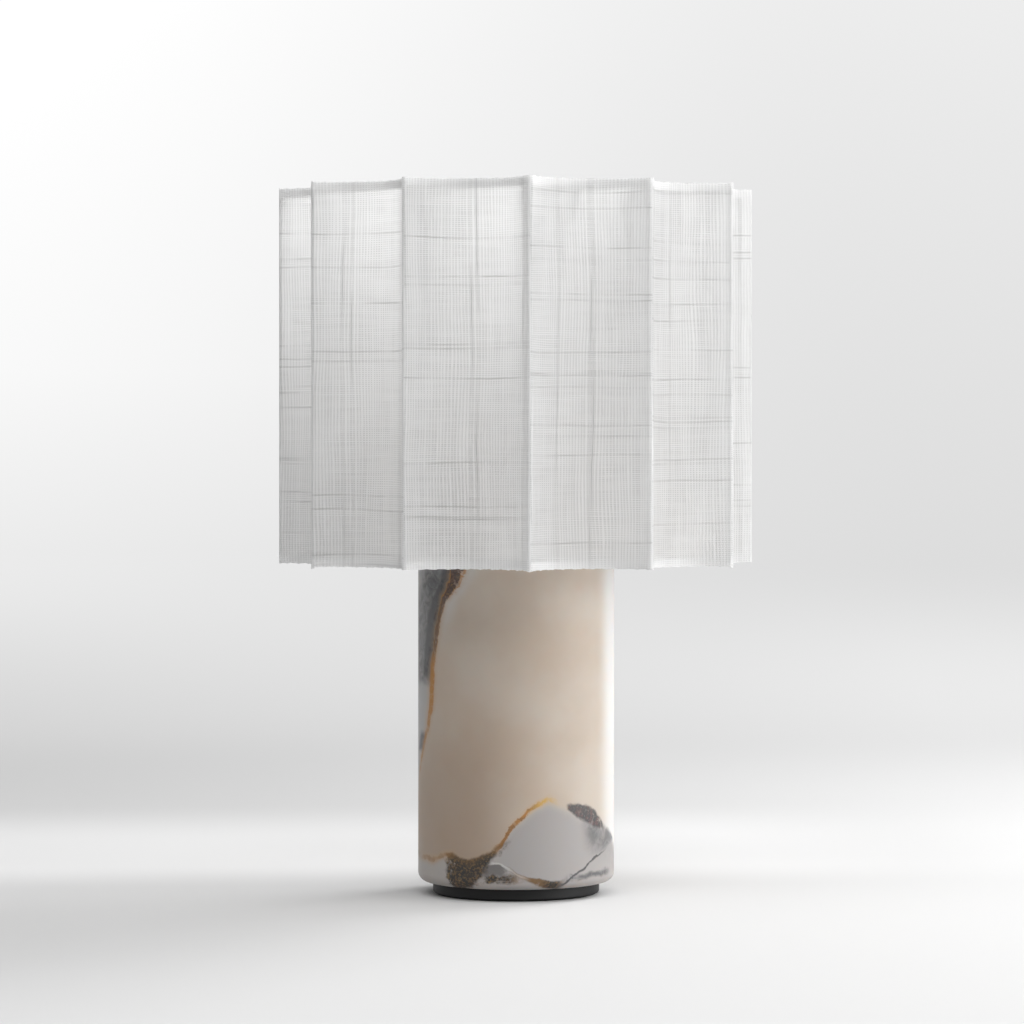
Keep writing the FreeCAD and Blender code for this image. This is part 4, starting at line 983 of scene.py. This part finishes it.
def lay_sweep(stage):
    """A table that curves up into the backdrop behind the lamp."""
    deselect()
    bpy.ops.mesh.primitive_plane_add(size=1)
    floor = bpy.context.object
    floor.name = "sweep"
    for vertex in floor.data.vertices:
        edge = SWEEP_BACK if vertex.co.y > 0 else SWEEP_FRONT
        vertex.co = (vertex.co.x * SWEEP_WIDTH, edge, 0)
    pick(floor, lambda place: place.y > 0)
    bpy.ops.mesh.extrude_region_move(TRANSFORM_OT_translate={"value": (0, 0, SWEEP_HEIGHT)})
    pick(floor, lambda place: place.y > 0 and place.z == 0)
    bpy.ops.mesh.bevel(offset=SWEEP_BEND, segments=24, affect="EDGES")
    bpy.ops.object.mode_set(mode="OBJECT")
    bpy.ops.object.shade_smooth()
    floor.data.materials.append(seamless_paper(stage))


def seamless_paper(stage):
    """Matt paper: it shows no reflection, so the eye reads only how evenly it is lit.

    Near the lamp it is plain paper and keeps the shadow. Further out it glows evenly, palest at the top
    left. Just behind the lamp a paler pool of light is painted on the table.
    """
    material, tree = new_material("Paper, matt seamless")
    place = put(tree, "TexCoord", {}, out="Object")
    sides = put(tree, "SeparateXYZ", {0: place}).node.outputs
    seen = seen_directly(tree)

    # A pool of light is painted on the table: it starts behind the foot, ends before the bend, and is weaker
    # at the right.
    painted_pool = None
    for side, limits in (
        ("Y", {1: 0.03, 2: 0.17}),
        ("Y", {1: 0.62, 2: 0.34}),
        ("X", {1: 0.10, 2: 0.33, 3: 1.0, 4: 0.2}),
    ):
        part = put(tree, "MapRange", {0: sides[side], **limits}, **EASED)
        painted_pool = part if painted_pool is None else put(tree, "Math", {0: painted_pool, 1: part}, operation="MULTIPLY")
    table = put(tree, "Mix", {0: painted_pool, 6: stage.floor, 7: stage.painted_light_pool}, **OF_COLOURS)
    tone = put(tree, "Mix", {0: seen, 6: stage.bounce, 7: table}, **OF_COLOURS)
    fibres = put(tree, "TexNoise", {"Vector": place, "Scale": FIBRES_PER_METRE, "Detail": 3.0})
    bump = put(tree, "Bump", {"Strength": 0.05, "Distance": 0.05 * MM, "Height": fibres})
    paper = put(tree, "BsdfPrincipled", {"Base Color": tone, "Roughness": 0.85, "Normal": bump})

    # The glow's level rises up the backdrop, more so at the left, and low down it rises to the right.
    level = put(tree, "Math", {0: sides["Z"], 1: 0.17, 2: 0.70}, operation="MULTIPLY_ADD")
    climb = put(tree, "MapRange", {0: sides["Z"], 1: 0.16, 2: 0.36, 3: 0.11, 4: 0.19})
    leftward = put(tree, "MapRange", {0: sides["X"], 1: 0.6, 2: -0.6}, **EASED)
    level = put(tree, "Math", {0: climb, 1: leftward, 2: level}, operation="MULTIPLY_ADD")
    low = put(tree, "MapRange", {0: sides["Z"], 1: 0.15, 2: 0.01}, **EASED)
    rise = put(tree, "MapRange", {0: sides["X"], 1: -0.5, 2: 0.5, 3: -0.09, 4: 0.155})
    level = put(tree, "Math", {0: low, 1: rise, 2: level}, operation="MULTIPLY_ADD")
    reach = put(tree, "VectorMath", {0: place}, out="Value", operation="LENGTH")
    away = put(tree, "MapRange", {0: reach, 1: 3.8, 2: 6.5}, **EASED)
    level = put(tree, "Mix", {0: away, 2: level, 3: 0.905})
    glow = put(tree, "Emission", {"Color": linear("#ffffff"), "Strength": level})
    far = put(tree, "MapRange", {0: reach, 1: 0.5, 2: 1.9}, **EASED)
    shown = put(tree, "Math", {0: far, 1: seen}, operation="MULTIPLY")
    surface = put(tree, "MixShader", {0: shown, 1: paper, 2: glow})

    # From behind, the paper lets the camera see through.
    behind = put(tree, "NewGeometry", {}, out="Backfacing")
    clear = put(tree, "BsdfTransparent", {})
    show(tree, put(tree, "MixShader", {0: behind, 1: surface, 2: clear}))
    return material


def seen_directly(tree):
    """1 where the camera looks, also by a mirror or through glass."""
    rays = put(tree, "LightPath", {}).node.outputs
    seen = put(tree, "Math", {0: rays["Is Camera Ray"], 1: rays["Is Glossy Ray"]}, operation="MAXIMUM")
    return put(tree, "Math", {0: seen, 1: rays["Is Transmission Ray"]}, operation="MAXIMUM")


def pick(item, wanted):
    """Selects a mesh's vertices by their place, and goes on in edit mode."""
    bpy.ops.object.mode_set(mode="EDIT")
    bpy.ops.mesh.select_all(action="DESELECT")
    bpy.ops.object.mode_set(mode="OBJECT")
    for vertex in item.data.vertices:
        vertex.select = wanted(vertex.co)
    bpy.ops.object.mode_set(mode="EDIT")
    bpy.ops.mesh.select_mode(type="VERT")


def add_light(name, place, size, watts):
    """A rectangular softbox that is turned to the lamp."""
    data = bpy.data.lights.new(name, "AREA")
    data.shape = "RECTANGLE"
    data.size, data.size_y = size
    data.energy = watts
    light = bpy.data.objects.new(name, data)
    light.location = place
    light.rotation_euler = (SOFTBOX_AIM - light.location).to_track_quat("-Z", "Y").to_euler()
    bpy.context.scene.collection.objects.link(light)


def light_world(scene):
    """A weak, even light from all around, behind a plain pale backdrop."""
    world = bpy.data.worlds.new("soft_room")
    world.use_nodes = True
    tree = world.node_tree
    tree.nodes.clear()
    seen = seen_directly(tree)
    soft = put(tree, "Background", {"Color": linear("#ffffff"), "Strength": WORLD_LIGHT})
    plain = put(tree, "Background", {"Color": linear("#f4f4f4"), "Strength": WORLD_SEEN})
    mixed = put(tree, "MixShader", {0: seen, 1: soft, 2: plain})
    put(tree, "OutputWorld", {"Surface": mixed})
    scene.world = world


def place_camera(stage, scene):
    """A level camera with a long lens."""
    data = bpy.data.cameras.new("camera")
    data.lens = stage.lens_mm
    data.shift_x = SHIFT_RIGHT
    data.shift_y = SHIFT_UP
    camera = bpy.data.objects.new("camera", data)
    camera.location = (
        stage.distance * math.sin(stage.azimuth), -stage.distance * math.cos(stage.azimuth), stage.height
    )
    camera.rotation_euler = (math.pi / 2, 0, stage.azimuth)
    scene.collection.objects.link(camera)
    scene.camera = camera


class LAMP_PT_pieces(bpy.types.Panel):
    """Lists the lamp's pieces"""

    bl_idname = "LAMP_PT_pieces"
    bl_label = "Lamp"
    bl_space_type = "VIEW_3D"
    bl_region_type = "UI"
    bl_category = "Lamp"

    def draw(self, context):
        for operator in PIECES:
            self.layout.operator(operator.bl_idname)
        for settings in (context.scene.lamp_linen, context.scene.lamp_stone, context.scene.lamp_stage):
            box = self.layout.box()
            for name in settings.__annotations__:
                box.prop(settings, name)


PIECES = (
    LAMP_OT_linen_gores,
    LAMP_OT_stone_column,
    LAMP_OT_foot,
    LAMP_OT_fittings,
    LAMP_OT_lampholder,
    LAMP_OT_bulb,
    LAMP_OT_stage,
)
SETTINGS = {"lamp_linen": LampLinen, "lamp_stone": LampStone, "lamp_stage": LampStage}


def register():
    for item in (*SETTINGS.values(), *PIECES, LAMP_PT_pieces):
        bpy.utils.register_class(item)
    for name, group in SETTINGS.items():
        setattr(bpy.types.Scene, name, bpy.props.PointerProperty(type=group))


def unregister():
    for name in SETTINGS:
        delattr(bpy.types.Scene, name)
    for item in reversed((*SETTINGS.values(), *PIECES, LAMP_PT_pieces)):
        bpy.utils.unregister_class(item)


def main():
    register()
    bpy.ops.lamp.stage()
    bpy.ops.lamp.linen_gores()
    bpy.ops.lamp.stone_column()
    bpy.ops.lamp.foot()
    bpy.ops.lamp.fittings()
    bpy.ops.lamp.lampholder()
    bpy.ops.lamp.bulb()


if __name__ == "__main__":
    main()
